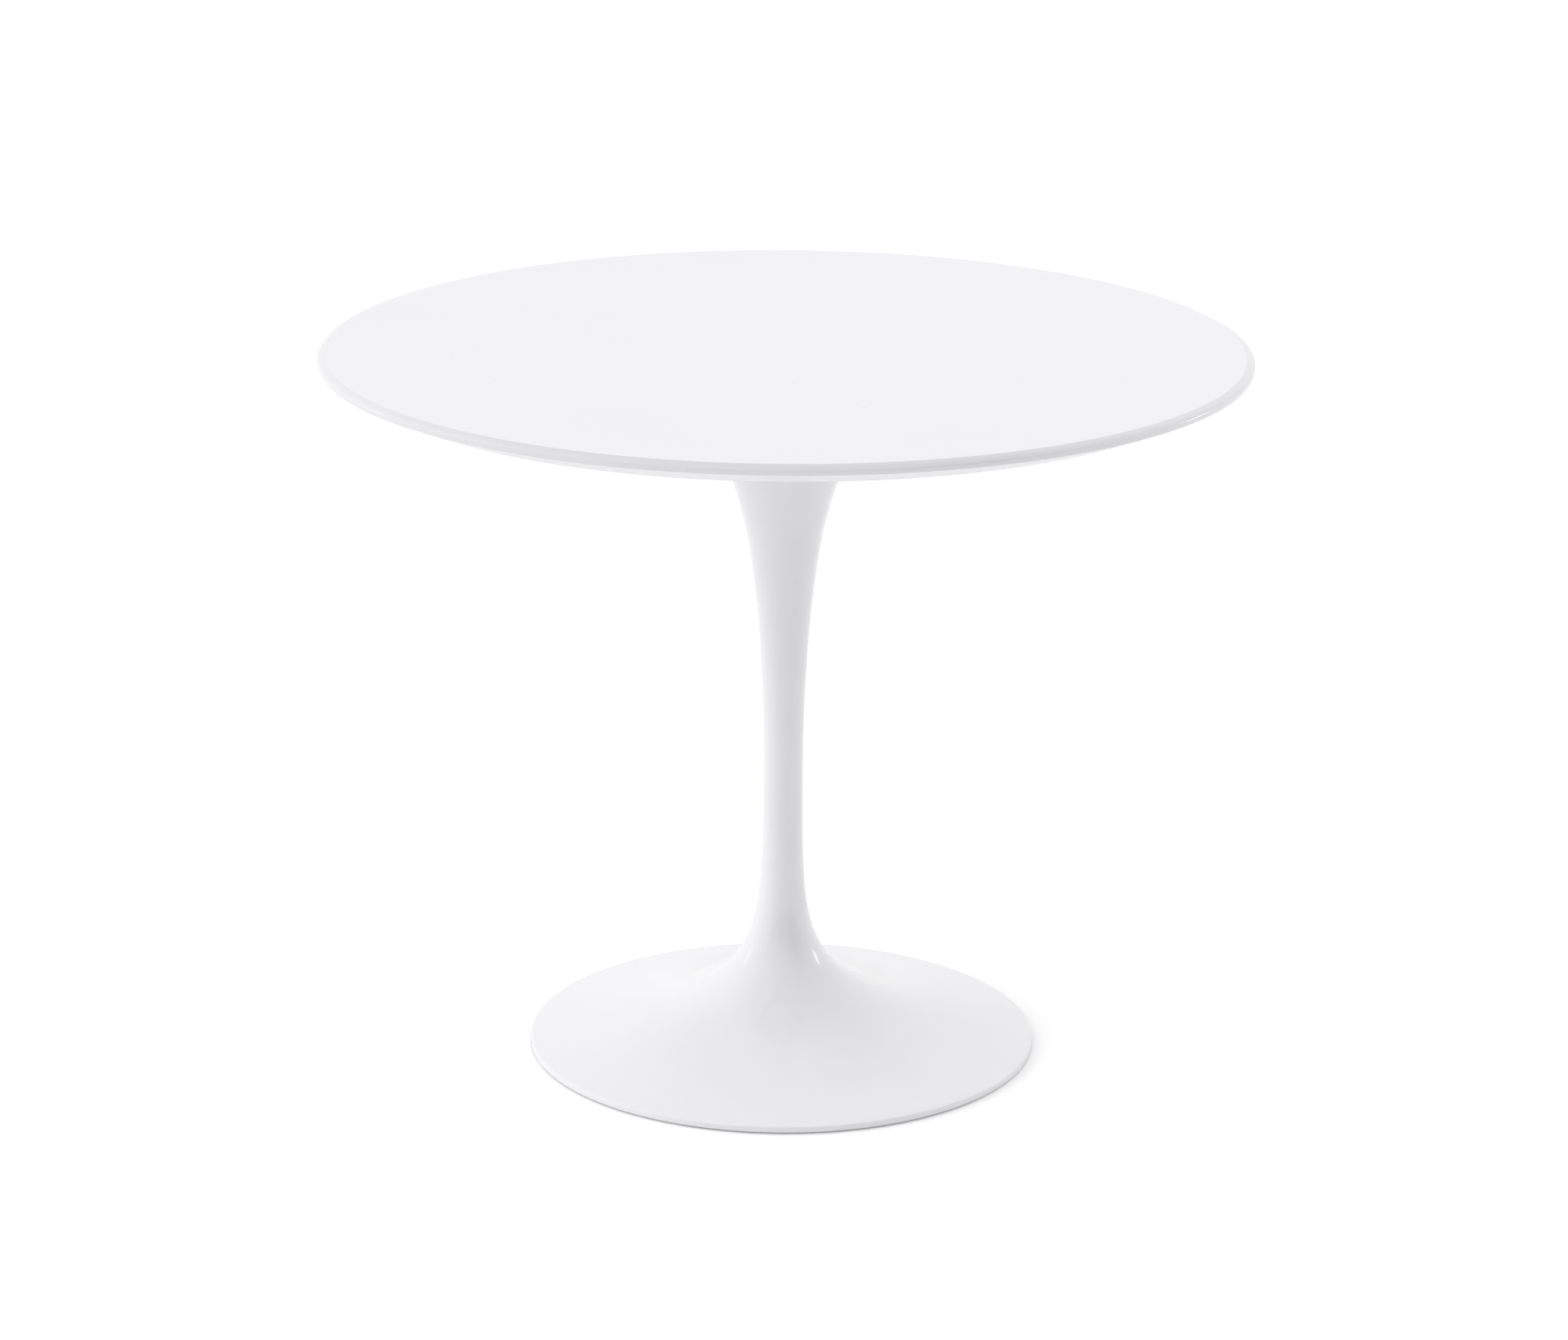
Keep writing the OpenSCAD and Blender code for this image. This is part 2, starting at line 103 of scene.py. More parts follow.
def make_camera():
    lens = bpy.data.cameras.new("camera")
    lens.lens, lens.sensor_width = LENS_MM, SENSOR_MM
    camera = new_object("camera", lens)
    level = Vector((1, 0, 0))
    upright = Vector((0, math.sin(CAMERA_DOWN), math.cos(CAMERA_DOWN)))
    right = level * math.cos(CAMERA_ROLL) + upright * math.sin(CAMERA_ROLL)
    up = upright * math.cos(CAMERA_ROLL) - level * math.sin(CAMERA_ROLL)
    turn = Matrix((right, up, right.cross(up))).transposed().to_4x4()
    camera.matrix_world = Matrix.Translation(CAMERA_PLACE) @ turn
    return camera


bpy.context.scene.camera = make_camera()
bpy.context.scene.view_settings.view_transform = "Standard"
print("camera made")

# %% [markdown]
# ## Curves for the outlines
# The trumpet and the nose are smooth curves, so their outlines are cubic curves between a few
# places: each is given by its two ends and two handles, as in a drawing program. A curve can
# also be moved sideways by a wall's thickness, which gives a casting's inside.

# %% Points, curves and arcs
def pt(r, z):
    return Vector((r, z))


def along(degrees):
    """A unit step at that slope, outwards and up."""
    return pt(math.cos(math.radians(degrees)), math.sin(math.radians(degrees)))


def curve(p0, p1, p2, p3, steps, side=0.0):
    """Points of a cubic curve without its first one, moved to its left by side."""
    found = []
    for i in range(1, steps + 1):
        t, s = i / steps, 1 - i / steps
        run = (p1 - p0) * s * s + (p2 - p1) * 2 * s * t + (p3 - p2) * t * t
        left = pt(-run.y, run.x).normalized()
        found.append(p0 * s**3 + p1 * 3 * s * s * t + p2 * 3 * s * t * t + p3 * t**3 + left * side)
    return found


def arc(middle, r, start, end, steps=6):
    """Points on an arc, with its angles in degrees."""
    return [middle + along(start + (end - start) * i / steps) * r for i in range(steps + 1)]


print("a quarter round:", len(arc(pt(0, 0), 1, 0, 90)), "points")

# %% [markdown]
# ## Making a piece
# An outline is a list of (radius, height) points. `bmesh.ops.spin` turns it about the axis, the
# doubles at the seam and at the poles are merged, and the normals are recalculated so that they
# point outwards. Creases stay sharp where two faces meet at more than a set angle.

# %% Helpers for turned pieces
TURN_STEPS = 256
CREASE_ANGLE = math.radians(24)
SAME_PLACE, NO_LENGTH = 1e-7, 1e-8


def drawn(points, closed=False, hub=Vector()):
    """A new bmesh with an outline of (radius, height) points in it, and that outline."""
    bm = bmesh.new()
    verts = [bm.verts.new(hub + Vector((p[0], 0, p[1])) * MM) for p in points]
    pairs = list(zip(verts, verts[1:])) + ([(verts[-1], verts[0])] if closed else [])
    return bm, verts + [bm.edges.new(pair) for pair in pairs]


def spun(points, steps=TURN_STEPS, closed=False, centre=(0, 0)):
    """A mesh turned from an outline. Open outlines start and end on the axis."""
    hub = Vector((*centre, 0)) * MM
    bm, outline = drawn(points, closed, hub)
    bmesh.ops.spin(bm, geom=outline, cent=hub, axis=(0, 0, 1), angle=2 * math.pi,
                   steps=steps, use_merge=True)
    return closed_mesh(bm)


def closed_mesh(bm):
    """Merge doubles, point the normals outwards and hand over the mesh."""
    bmesh.ops.remove_doubles(bm, verts=bm.verts, dist=SAME_PLACE)
    bmesh.ops.dissolve_degenerate(bm, edges=bm.edges, dist=NO_LENGTH)
    bmesh.ops.recalc_face_normals(bm, faces=bm.faces)
    mesh = bpy.data.meshes.new("turned")
    bm.to_mesh(mesh)
    bm.free()
    return mesh


def piece(name, mesh, finishes, slot, *stands_for, body="table"):
    """Put a finished mesh in the scene: it rides on a body and stands for CAD nodes."""
    mesh.name = name
    mesh.shade_smooth()
    mesh.set_sharp_from_angle(angle=CREASE_ANGLE)
    mesh.materials.clear()
    for finish in finishes:
        mesh.materials.append(finish)
    thing = new_object(name, mesh)
    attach(thing, body)
    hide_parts(*stands_for)
    print(f"{name}: {len(mesh.polygons)} faces")
    return thing


# %% [markdown]
# Holes, ribs and nuts need one shape taken from another. The Boolean modifier does that on
# closed meshes, and reading the evaluated mesh applies it without any operator. A drill always
# reaches a little past the face that it goes in by, because two faces in one plane confuse it.

# %% Helpers for shapes made from two
PAST = 1


def combined(mesh, how, *others):
    """The mesh after DIFFERENCE, UNION or INTERSECT with each of the others."""
    stand = new_object("stand", mesh)
    tools = [new_object("tool", other) for other in others]
    for tool in tools:
        boolean = stand.modifiers.new("boolean", "BOOLEAN")
        boolean.operation, boolean.object, boolean.solver = how, tool, "MANIFOLD"
    bpy.context.view_layer.update()
    graph = bpy.context.evaluated_depsgraph_get()
    made = bpy.data.meshes.new_from_object(stand.evaluated_get(graph))
    for thing in (stand, *tools):
        bpy.data.objects.remove(thing)
    return made


def ring_of(mesh, count, start=0.0):
    """Copies of a mesh, turned evenly about the table's axis."""
    copies = []
    for i in range(count):
        copy = mesh.copy()
        copy.transform(Matrix.Rotation(math.radians(start + 360 * i / count), 4, "Z"))
        copies.append(copy)
    return copies


def together(meshes):
    """Several meshes in one, without joining their surfaces."""
    bm = bmesh.new()
    for mesh in meshes:
        bm.from_mesh(mesh)
    made = bpy.data.meshes.new("together")
    bm.to_mesh(made)
    bm.free()
    return made


def bar(r, low, high, centre=(0, 0), steps=48):
    """A plain round bar, used mostly to drill with."""
    return spun([(0, low), (r, low), (r, high), (0, high)], steps, centre=centre)


def prism(key, low, high, centre=(0, 0)):
    """A hexagonal bar, key millimetres across its flats."""
    bm = bmesh.new()
    place = Matrix.Translation(Vector((*centre, (low + high) / 2)) * MM)
    r = key / math.sqrt(3) * MM
    bmesh.ops.create_cone(bm, cap_ends=True, segments=6, radius1=r, radius2=r,
                          depth=(high - low) * MM, matrix=place)
    return closed_mesh(bm)


print("boolean helpers ready")

# %% [markdown]
# ## Finishes
# A material is a tree of nodes, and wiring it takes many lines. Two helpers shorten that: one
# feeds a socket with a plain value or another node's output, and the other makes a whole sum.

# %% Wires and sums
VECTORS = "ShaderNodeVectorMath"


def wire(tree, socket, value):
    """Give a socket a plain value, or link another node's output to it."""
    if isinstance(value, bpy.types.NodeSocket):
        tree.links.new(value, socket)
    else:
        socket.default_value = value


def maths(tree, operation, *inputs, kind="ShaderNodeMath", output="Value"):
    """One sum of plain values and other nodes' outputs."""
    node = tree.nodes.new(kind)
    node.operation = operation
    for socket, value in zip(node.inputs, inputs):
        wire(tree, socket, value)
    return node.outputs[output]


print("sums and wires ready")

# %% [markdown]
# Every finish is a Principled shader whose colour, roughness and bump come from noise in the
# piece's own Object coordinates, in metres. Noise never repeats or stretches, as a picture
# wrapped round the trumpet would. `Finish` holds the shader and makes the usual nodes.

# %% A finish
class Finish:
    def __init__(self, name, **sockets):
        self.material = bpy.data.materials.new(name)
        self.material.use_nodes = True
        self.tree = self.material.node_tree
        self.shader = self.tree.nodes["Principled BSDF"]
        self.place = self.add("ShaderNodeTexCoord").outputs["Object"]
        for socket, value in sockets.items():
            self.shader.inputs[socket.replace("_", " ")].default_value = value

    def add(self, kind, inputs=(), **settings):
        node = self.tree.nodes.new(kind)
        for key, value in settings.items():
            setattr(node, key, value)
        for socket, value in dict(inputs).items():
            self.put(node.inputs[socket], value)
        return node

    def put(self, socket, value):
        wire(self.tree, socket, value)

    def noise(self, scale, detail=2.0, rough=0.5, where=None):
        """Soft noise from 0 to 1, with scale in lumps per metre."""
        inputs = {"Vector": where or self.place, "Scale": scale, "Detail": detail, "Roughness": rough}
        return self.add("ShaderNodeTexNoise", inputs).outputs["Fac"]

    def ranged(self, value, low, high, to_low, to_high):
        """The value's stretch from low to high, laid on another range and clamped there."""
        inputs = {"Value": value, "From Min": low, "From Max": high, "To Min": to_low, "To Max": to_high}
        return self.add("ShaderNodeMapRange", inputs).outputs["Result"]

    def tinted(self, value, *stops):
        """A colour ramp with (position, colour) stops."""
        ramp = self.add("ShaderNodeValToRGB", {"Fac": value})
        while len(ramp.color_ramp.elements) < len(stops):
            ramp.color_ramp.elements.new(0.5)
        for element, (position, colour) in zip(ramp.color_ramp.elements, stops):
            element.position, element.color = position, (*colour, 1)
        return ramp.outputs["Color"]

    def sum_of(self, first, second, share):
        """The first value plus a share of the second."""
        return maths(self.tree, "MULTIPLY_ADD", second, share, first)

    def reach(self, *directions):
        """The distance from the origin, measured in those directions only."""
        flat = maths(self.tree, "MULTIPLY", self.place, directions, kind=VECTORS, output="Vector")
        return maths(self.tree, "LENGTH", flat, kind=VECTORS)

    def bump(self, height, depth, strength=1.0):
        """Relief from a height of 0 to 1, depth metres deep."""
        inputs = {"Height": height, "Distance": depth, "Strength": strength}
        self.put(self.shader.inputs["Normal"], self.add("ShaderNodeBump", inputs).outputs["Normal"])

    def wear(self, colour, roughness):
        self.put(self.shader.inputs["Base Color"], colour)
        self.put(self.shader.inputs["Roughness"], roughness)
        return self.material


print("finishes are wired with", ", ".join(n for n in vars(Finish) if not n.startswith("_")))

# %% [markdown]
# The upper face is a matt melamine laminate. It is pressed against a fine-grained plate, which
# leaves a pebbled skin of less than a hundredth of a millimetre: too fine to see as grain, but
# it is what makes the reflections dull. Broad, faint clouds keep the white from looking flat,
# and a few grey specks are dust. A Mix node's sockets for numbers and colours share their names,
# so the colour sockets are picked by their place in the list.

# %% Laminate
COLOUR_A, COLOUR_B, MIXED_COLOUR = 6, 7, 2


def laminate_finish():
    finish = Finish("matt laminate", Specular_IOR_Level=0.35)
    clouds = finish.noise(5, detail=3)
    grain = finish.noise(900, detail=2)
    specks = finish.add("ShaderNodeTexVoronoi", {"Vector": finish.place, "Scale": 26.0})
    clean = finish.ranged(specks.outputs["Distance"], 0.020, 0.034, 0.0, 1.0)
    white = finish.tinted(clouds, (0.3, (0.868, 0.864, 0.894)), (0.7, (0.880, 0.877, 0.905)))
    dusty = finish.add("ShaderNodeMix", data_type="RGBA")
    finish.put(dusty.inputs["Factor"], clean)
    finish.put(dusty.inputs[COLOUR_A], (0.70, 0.69, 0.70, 1))
    finish.put(dusty.inputs[COLOUR_B], white)
    finish.bump(grain, 0.00003, 0.35)
    return finish.wear(dusty.outputs[MIXED_COLOUR], finish.ranged(clouds, 0.3, 0.7, 0.50, 0.56))


LAMINATE = laminate_finish()
print("made", LAMINATE.name)

# %% [markdown]
# The edge moulding is extruded plastic, coloured right through, with the shine of its polished
# die, which a thin clear coat gives. An extrusion is smoother along its length than across it,
# so its faint marks run round the table: the noise is read in a space that is squeezed upright.

# %% Edge moulding
def moulding_finish():
    finish = Finish("satin moulding", Specular_IOR_Level=0.45,
                    Coat_Weight=1.0, Coat_Roughness=0.15, Coat_IOR=1.5)
    inputs = {"Vector": finish.place, "Scale": (12, 12, 900)}
    squeezed = finish.add("ShaderNodeMapping", inputs).outputs["Vector"]
    streaks = finish.noise(1, detail=3, where=squeezed)
    white = finish.tinted(streaks, (0.3, (0.735, 0.733, 0.755)), (0.7, (0.752, 0.750, 0.771)))
    finish.bump(streaks, 0.00002, 0.3)
    return finish.wear(white, finish.ranged(streaks, 0.3, 0.7, 0.30, 0.38))


MOULDING = moulding_finish()
print("made", MOULDING.name)

# %% [markdown]
# Sprayed lacquer levels out into a skin with long, very shallow waves, which painters call
# orange peel. The bevel has a satin coat over fibreboard. The pedestal has a thick gloss coat
# over filler, so it gets a clear coat on top of a half-gloss white, and two sizes of wave.

# %% Lacquers
def satin_lacquer_finish():
    finish = Finish("satin lacquer", Specular_IOR_Level=0.4)
    peel = finish.sum_of(finish.noise(140, detail=1), finish.noise(700, detail=1), 0.25)
    white = finish.tinted(finish.noise(9), (0.3, (0.866, 0.864, 0.882)), (0.7, (0.882, 0.880, 0.896)))
    finish.bump(peel, 0.00005, 0.35)
    return finish.wear(white, finish.ranged(peel, 0.3, 0.9, 0.34, 0.42))


def gloss_lacquer_finish():
    finish = Finish("gloss lacquer", Specular_IOR_Level=0.2,
                    Coat_Weight=1.0, Coat_Roughness=0.09, Coat_IOR=1.5)
    peel = finish.sum_of(finish.noise(55, detail=1), finish.noise(260, detail=2), 0.18)
    haze = finish.noise(6, detail=3)
    white = finish.tinted(haze, (0.3, (0.822, 0.821, 0.844)), (0.7, (0.836, 0.835, 0.858)))
    finish.bump(peel, 0.00004, 0.25)
    return finish.wear(white, finish.ranged(haze, 0.3, 0.7, 0.30, 0.36))


SATIN_LACQUER = satin_lacquer_finish()
GLOSS_LACQUER = gloss_lacquer_finish()
print("made", SATIN_LACQUER.name, "and", GLOSS_LACQUER.name)

# %% [markdown]
# The hollow side of the casting is left as it came from the sand: grainy bare aluminium, with
# white overspray that thins out away from the rim. The distance from the axis, measured in the
# floor's plane, drives that change.

# %% Sand-cast inside
def cast_finish():
    finish = Finish("sand-cast inside", Specular_IOR_Level=0.5)
    grain = finish.sum_of(finish.noise(900, detail=4, rough=0.7), finish.noise(60, detail=3), 0.6)
    spray = finish.sum_of(finish.ranged(finish.reach(1, 1, 0), 0.10, 0.25, 0.1, 0.8), grain, 0.35)
    colour = finish.tinted(spray, (0.25, (0.36, 0.365, 0.37)), (0.75, (0.72, 0.72, 0.735)))
    finish.bump(grain, 0.0006, 0.6)
    finish.put(finish.shader.inputs["Metallic"], finish.ranged(spray, 0.25, 0.6, 0.6, 0.0))
    return finish.wear(colour, finish.ranged(grain, 0.3, 1.1, 0.55, 0.8))


CAST = cast_finish()
print("made", CAST.name)

# %% [markdown]
# Four metals and a paint are left. Zinc plating is a bluish bright grey with cloudy patches.
# Turned steel has fine rings from the tool, so its noise is read along the radius and the
# height only. The spring washer is oil-blackened, the inserts are brass, and the plate's black
# powder coat is a plastic skin with a leathery relief.

# %% Metals and powder coat
def metal_finish(name, dark, light, rough, patches=70):
    finish = Finish(name, Metallic=1.0)
    cloud = finish.sum_of(finish.noise(patches, detail=3), finish.noise(1600, detail=1), 0.3)
    finish.bump(cloud, 0.00004, 0.3)
    return finish.wear(finish.tinted(cloud, (0.35, dark), (0.95, light)),
                       finish.ranged(cloud, 0.35, 0.95, rough + 0.1, rough))


def turned_finish():
    finish = Finish("turned steel", Metallic=1.0)
    height = finish.add("ShaderNodeSeparateXYZ", {0: finish.place}).outputs["Z"]
    tool = finish.add("ShaderNodeCombineXYZ", {"X": finish.reach(1, 1, 0), "Z": height})
    rings = finish.noise(2600, detail=2, where=tool.outputs["Vector"])
    finish.bump(rings, 0.00003, 0.4)
    return finish.wear(finish.tinted(rings, (0.3, (0.50, 0.50, 0.51)), (0.7, (0.60, 0.60, 0.61))),
                       finish.ranged(rings, 0.3, 0.7, 0.24, 0.36))


def powder_finish():
    finish = Finish("black powder coat", Specular_IOR_Level=0.4)
    leather = finish.sum_of(finish.noise(500, detail=3), finish.noise(60), 0.3)
    finish.bump(leather, 0.0002, 0.5)
    return finish.wear(finish.tinted(leather, (0.3, (0.012, 0.012, 0.013)), (0.9, (0.03, 0.03, 0.031))),
                       finish.ranged(leather, 0.3, 0.9, 0.42, 0.55))


ZINC = metal_finish("zinc plating", (0.46, 0.48, 0.50), (0.66, 0.68, 0.71), 0.28)
BLACKENED = metal_finish("oil-blackened steel", (0.05, 0.05, 0.055), (0.12, 0.12, 0.125), 0.36)
BRASS = metal_finish("yellow brass", (0.60, 0.44, 0.16), (0.78, 0.60, 0.27), 0.25)
TURNED = turned_finish()
POWDER = powder_finish()
print("made", ", ".join(m.name for m in (ZINC, BLACKENED, BRASS, TURNED, POWDER)))

# %% [markdown]
# The balancing sheet under the top is the laminate's plain brother, a little greyer. The pads
# are black nylon, scuffed paler where they slide on a floor.

# %% Balancing sheet and nylon
def balancing_finish():
    finish = Finish("balancing sheet", Specular_IOR_Level=0.35)
    grain = finish.sum_of(finish.noise(12), finish.noise(800), 0.3)
    finish.bump(grain, 0.00003, 0.3)
    return finish.wear(finish.tinted(grain, (0.3, (0.79, 0.79, 0.81)), (0.9, (0.83, 0.83, 0.85))),
                       finish.ranged(grain, 0.3, 0.9, 0.55, 0.65))


def nylon_finish():
    finish = Finish("black nylon", Specular_IOR_Level=0.45)
    grain = finish.noise(1300, detail=3)
    height = finish.add("ShaderNodeSeparateXYZ", {0: finish.place}).outputs["Z"]
    scuffs = finish.sum_of(finish.ranged(height, 0.0, 0.0008, 0.6, 0.0), grain, 0.4)
    finish.bump(grain, 0.00008, 0.4)
    return finish.wear(finish.tinted(scuffs, (0.2, (0.02, 0.02, 0.021)), (0.9, (0.09, 0.09, 0.092))),
                       finish.ranged(scuffs, 0.1, 0.9, 0.4, 0.6))


BALANCING = balancing_finish()
NYLON = nylon_finish()
print("made", BALANCING.name, "and", NYLON.name)

# %% [markdown]
# ## The top
# The top is a sandwich. A laminate sheet lies on a fibreboard core, and a thinner sheet under it
# keeps the board from cupping. The laminate meets the edge moulding in a hairline joint, so its
# rim gets a tiny chamfer that catches the light there. The bevel crosses three pieces, so each
# of them asks the same two helpers for its places on it.

# %% Laminate sheet and core
HAIRLINE = 0.15
CREASE_INSET, BEVEL_W = 0.5, 38
CREASE_R = TOP_R - CREASE_INSET
BEVEL_IN = pt(CREASE_R - BEVEL_W, UNDER_Z)
BEVEL_SLOPE = (MOULDING_Z - UNDER_Z) / (LAMINATE_R - BEVEL_IN.x)


def bevel_at(r):
    """The place on the undercut bevel at that radius."""
    return pt(r, BEVEL_IN.y + (r - BEVEL_IN.x) * BEVEL_SLOPE)


def bevel_level(z):
    """The place on the undercut bevel at that height."""
    return pt(BEVEL_IN.x + (z - BEVEL_IN.y) / BEVEL_SLOPE, z)


CREASE = bevel_at(CREASE_R)
print(f"the bevel rises {CREASE.y - UNDER_Z:.1f} mm over {BEVEL_W} mm")
piece("laminate_sheet", spun([
    (0, LAMINATE_Z), (LAMINATE_R, LAMINATE_Z), (LAMINATE_R, TABLE_H - HAIRLINE),
    (LAMINATE_R - HAIRLINE, TABLE_H), (0, TABLE_H)]), [LAMINATE], "laminate", "top_laminate")

# %% [markdown]
# The moulding's tongue is tapped into a groove in the core. Its barbs only hold because the
# groove is as high as they are, so both pieces share the same sizes. The core is also drilled
# for the inserts, and the sheet under it has a window round each of them.

# %% Groove, tongue and core
TONGUE_DEPTH, TONGUE_T, TONGUE_L = 6.5, 1.8, 10.0
TONGUE_Z, BARB = TABLE_H - TONGUE_DEPTH, 0.4
GROOVE_LOW, GROOVE_HIGH = TONGUE_Z - TONGUE_T / 2 - BARB, TONGUE_Z + TONGUE_T / 2 + BARB
GROOVE_R = LAMINATE_R - TONGUE_L
SCREW_COUNT, SCREW_INSET = 8, 18
AT_SCREW = (radius_of("mounting_plate") - SCREW_INSET, 0)
INSERT_R, INSERT_H = 5, 13
COLLAR_R, COLLAR_H = 6.5, 1.2
WINDOW_R = 7


def core_mesh():
    outer = bevel_at(LAMINATE_R)
    board = spun([
        (0, CORE_Z), bevel_level(CORE_Z), outer - pt(HAIRLINE, HAIRLINE * BEVEL_SLOPE),
        outer + pt(0, HAIRLINE), (LAMINATE_R, GROOVE_LOW), (GROOVE_R, GROOVE_LOW),
        (GROOVE_R, GROOVE_HIGH), (LAMINATE_R, GROOVE_HIGH), (LAMINATE_R, LAMINATE_Z), (0, LAMINATE_Z)])
    drill = combined(bar(INSERT_R, CORE_Z - PAST, CORE_Z + INSERT_H, AT_SCREW), "UNION",
                     bar(COLLAR_R, CORE_Z - PAST, CORE_Z + COLLAR_H, AT_SCREW))
    return combined(board, "DIFFERENCE", *ring_of(drill, SCREW_COUNT))


piece("bevelled_core", core_mesh(), [SATIN_LACQUER], "core_lacquer", "top_core")

sheet = spun([(0, UNDER_Z), BEVEL_IN, bevel_level(CORE_Z), (0, CORE_Z)])
windows = ring_of(bar(WINDOW_R, UNDER_Z - PAST, CORE_Z + PAST, AT_SCREW), SCREW_COUNT)
piece("balancing_sheet", combined(sheet, "DIFFERENCE", *windows), [BALANCING], "backing",
      "backing_laminate")

# %% [markdown]
# The nose starts at the laminate with a slight fall, rounds over to its widest line, and tucks
# in to the crease where the bevel begins. Two cubic curves do that, each with a handle at both
# ends, and the outline then runs back along the bevel and round the barbed tongue. The bevel is
# sprayed once the moulding is on, so the faces under it get the core's lacquer.

# %% Edge moulding band
NOSE_DROP = 5.5
NOSE_TOP, NOSE_SIDE = pt(LAMINATE_R, TABLE_H), pt(TOP_R, TABLE_H - NOSE_DROP)
NOSE_FALL = along(-18)
TOP_HANDLE, SIDE_UP, SIDE_DOWN = NOSE_FALL * 4.4, pt(0, 3.025), pt(0, -1.75)
CREASE_HANDLE = pt(0.167, 0.875)
BARB_COUNT, BARB_STEP, BARB_L = 3, 2.5, 1.75


def nose():
    upper = curve(NOSE_TOP, NOSE_TOP + TOP_HANDLE, NOSE_SIDE + SIDE_UP, NOSE_SIDE, 16)
    lower = curve(NOSE_SIDE, NOSE_SIDE + SIDE_DOWN, CREASE + CREASE_HANDLE, CREASE, 8)
    return [NOSE_TOP - pt(0, HAIRLINE), NOSE_TOP + NOSE_FALL * HAIRLINE] + upper[1:] + lower


def barbs(side):
    """The points of the barbs on one side of the tongue, from its tip to its root."""
    found = []
    flat = TONGUE_Z + side * TONGUE_T / 2
    for i in range(BARB_COUNT):
        start = GROOVE_R + BARB_STEP * (i + 0.4)
        found += [pt(start, flat), pt(start + BARB_L, flat + side * BARB), pt(start + BARB_L, flat)]
    return found


def moulding_mesh():
    low, high = TONGUE_Z - TONGUE_T / 2, TONGUE_Z + TONGUE_T / 2
    outer = bevel_at(LAMINATE_R)
    return spun(nose() + [
        outer + pt(HAIRLINE, HAIRLINE * BEVEL_SLOPE), outer + pt(0, HAIRLINE), (LAMINATE_R, low),
        *reversed(barbs(-1)), (GROOVE_R, low), (GROOVE_R, high), *barbs(1), (LAMINATE_R, high)],
        closed=True)


band = piece("edge_band", moulding_mesh(), [MOULDING, SATIN_LACQUER], "edge_moulding",
             "rim_moulding")
STEEPLY_DOWN = -0.8
for face in band.data.polygons:
    face.material_index = int(face.normal.z < STEEPLY_DOWN and face.center.xy.length > LAMINATE_R * MM)

# %% [markdown]
# ## What holds the top
# A round steel plate is screwed under the core. A hub welded through its middle takes the tie
# rod, and two pins keep the plate from turning on the pedestal.

# %% Steel plate
PLATE_R, PLATE_ROUND = radius_of("mounting_plate"), 1.5
HUB_R, HUB_Z = radius_of("plate_hub"), heights_of("plate_hub")[0]
SPIGOT_R, ROD_R = 15.0, radius_of("tie_rod")
PIN_R, PIN_Z = 2.5, heights_of("locating_pins")[0]
PIN_CIRCLE_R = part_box("locating_pins")[1].x / MM - PIN_R
HEAD_R, HEAD_H, SHANK_R = 6.0, 3.0, 3.0
HEAD_GAP, SHANK_GAP = 0.1, 0.3


def plate_mesh():
    rounding = arc(pt(PLATE_R - PLATE_ROUND, PLATE_Z + PLATE_ROUND), PLATE_ROUND, -90, 0)
    disc = spun([(0, PLATE_Z), (PLATE_R - PLATE_ROUND, PLATE_Z), *rounding,
                 (PLATE_R, UNDER_Z), (0, UNDER_Z)])
    low, high = PLATE_Z - PAST, UNDER_Z + PAST
    sink = spun([(0, low), (HEAD_R + HEAD_GAP, low), (HEAD_R + HEAD_GAP, PLATE_Z),
                 (SHANK_R + SHANK_GAP, PLATE_Z + HEAD_H - SHANK_GAP + HEAD_GAP),
                 (SHANK_R + SHANK_GAP, high), (0, high)], 48, centre=AT_SCREW)
    pins = ring_of(bar(PIN_R, low, high, (PIN_CIRCLE_R, 0)), 2)
    middle = bar(SPIGOT_R, low, high, steps=96)
    return combined(disc, "DIFFERENCE", *ring_of(sink, SCREW_COUNT), *pins, middle)


piece("steel_plate", plate_mesh(), [POWDER], "plate_paint", "mounting_plate")

# %% [markdown]
# The hub is a plain turning. Its outline is a closed ring that starts and ends at the rod's
# bore, so no hole has to be cut.

# %% Hub
EDGE, THREAD_GAP = 0.6, 0.05
BORE_R = ROD_R + THREAD_GAP
piece("turned_hub", spun([
    (BORE_R + EDGE, HUB_Z), (HUB_R - EDGE, HUB_Z), (HUB_R, HUB_Z + EDGE), (HUB_R, PLATE_Z),
    (SPIGOT_R, PLATE_Z), (SPIGOT_R, UNDER_Z), (BORE_R + EDGE, UNDER_Z), (BORE_R, UNDER_Z - EDGE),
    (BORE_R, HUB_Z + EDGE)], 128, closed=True), [TURNED], "turned_steel", "plate_hub")

# %% [markdown]
# Eight countersunk screws lie flush in the plate. One is made on the +X axis: a spun body, less
# a hexagonal socket with a drilled cone at its bottom. The other seven are turned copies.

# %% Countersunk screws
SCREW_L, HEAD_EDGE = 16, 0.3
KEY, KEY_DEPTH, DRILL_R, DRILL_TIP = 4, 2, 1.95, 0.7


def screw_mesh():
    tip = PLATE_Z + SCREW_L
    body = spun([(0, PLATE_Z), (HEAD_R - HEAD_EDGE, PLATE_Z), (HEAD_R, PLATE_Z + HEAD_EDGE),
                 (SHANK_R, PLATE_Z + HEAD_H), (SHANK_R, tip - EDGE), (SHANK_R - EDGE, tip),
                 (0, tip)], 48, centre=AT_SCREW)
    bottom = PLATE_Z + KEY_DEPTH
    socket = prism(KEY, PLATE_Z - PAST, bottom, AT_SCREW)
    cone = spun([(0, bottom - PAST), (DRILL_R, bottom - PAST), (DRILL_R, bottom), (0, bottom + DRILL_TIP)],
                24, centre=AT_SCREW)
    return combined(body, "DIFFERENCE", socket, cone)


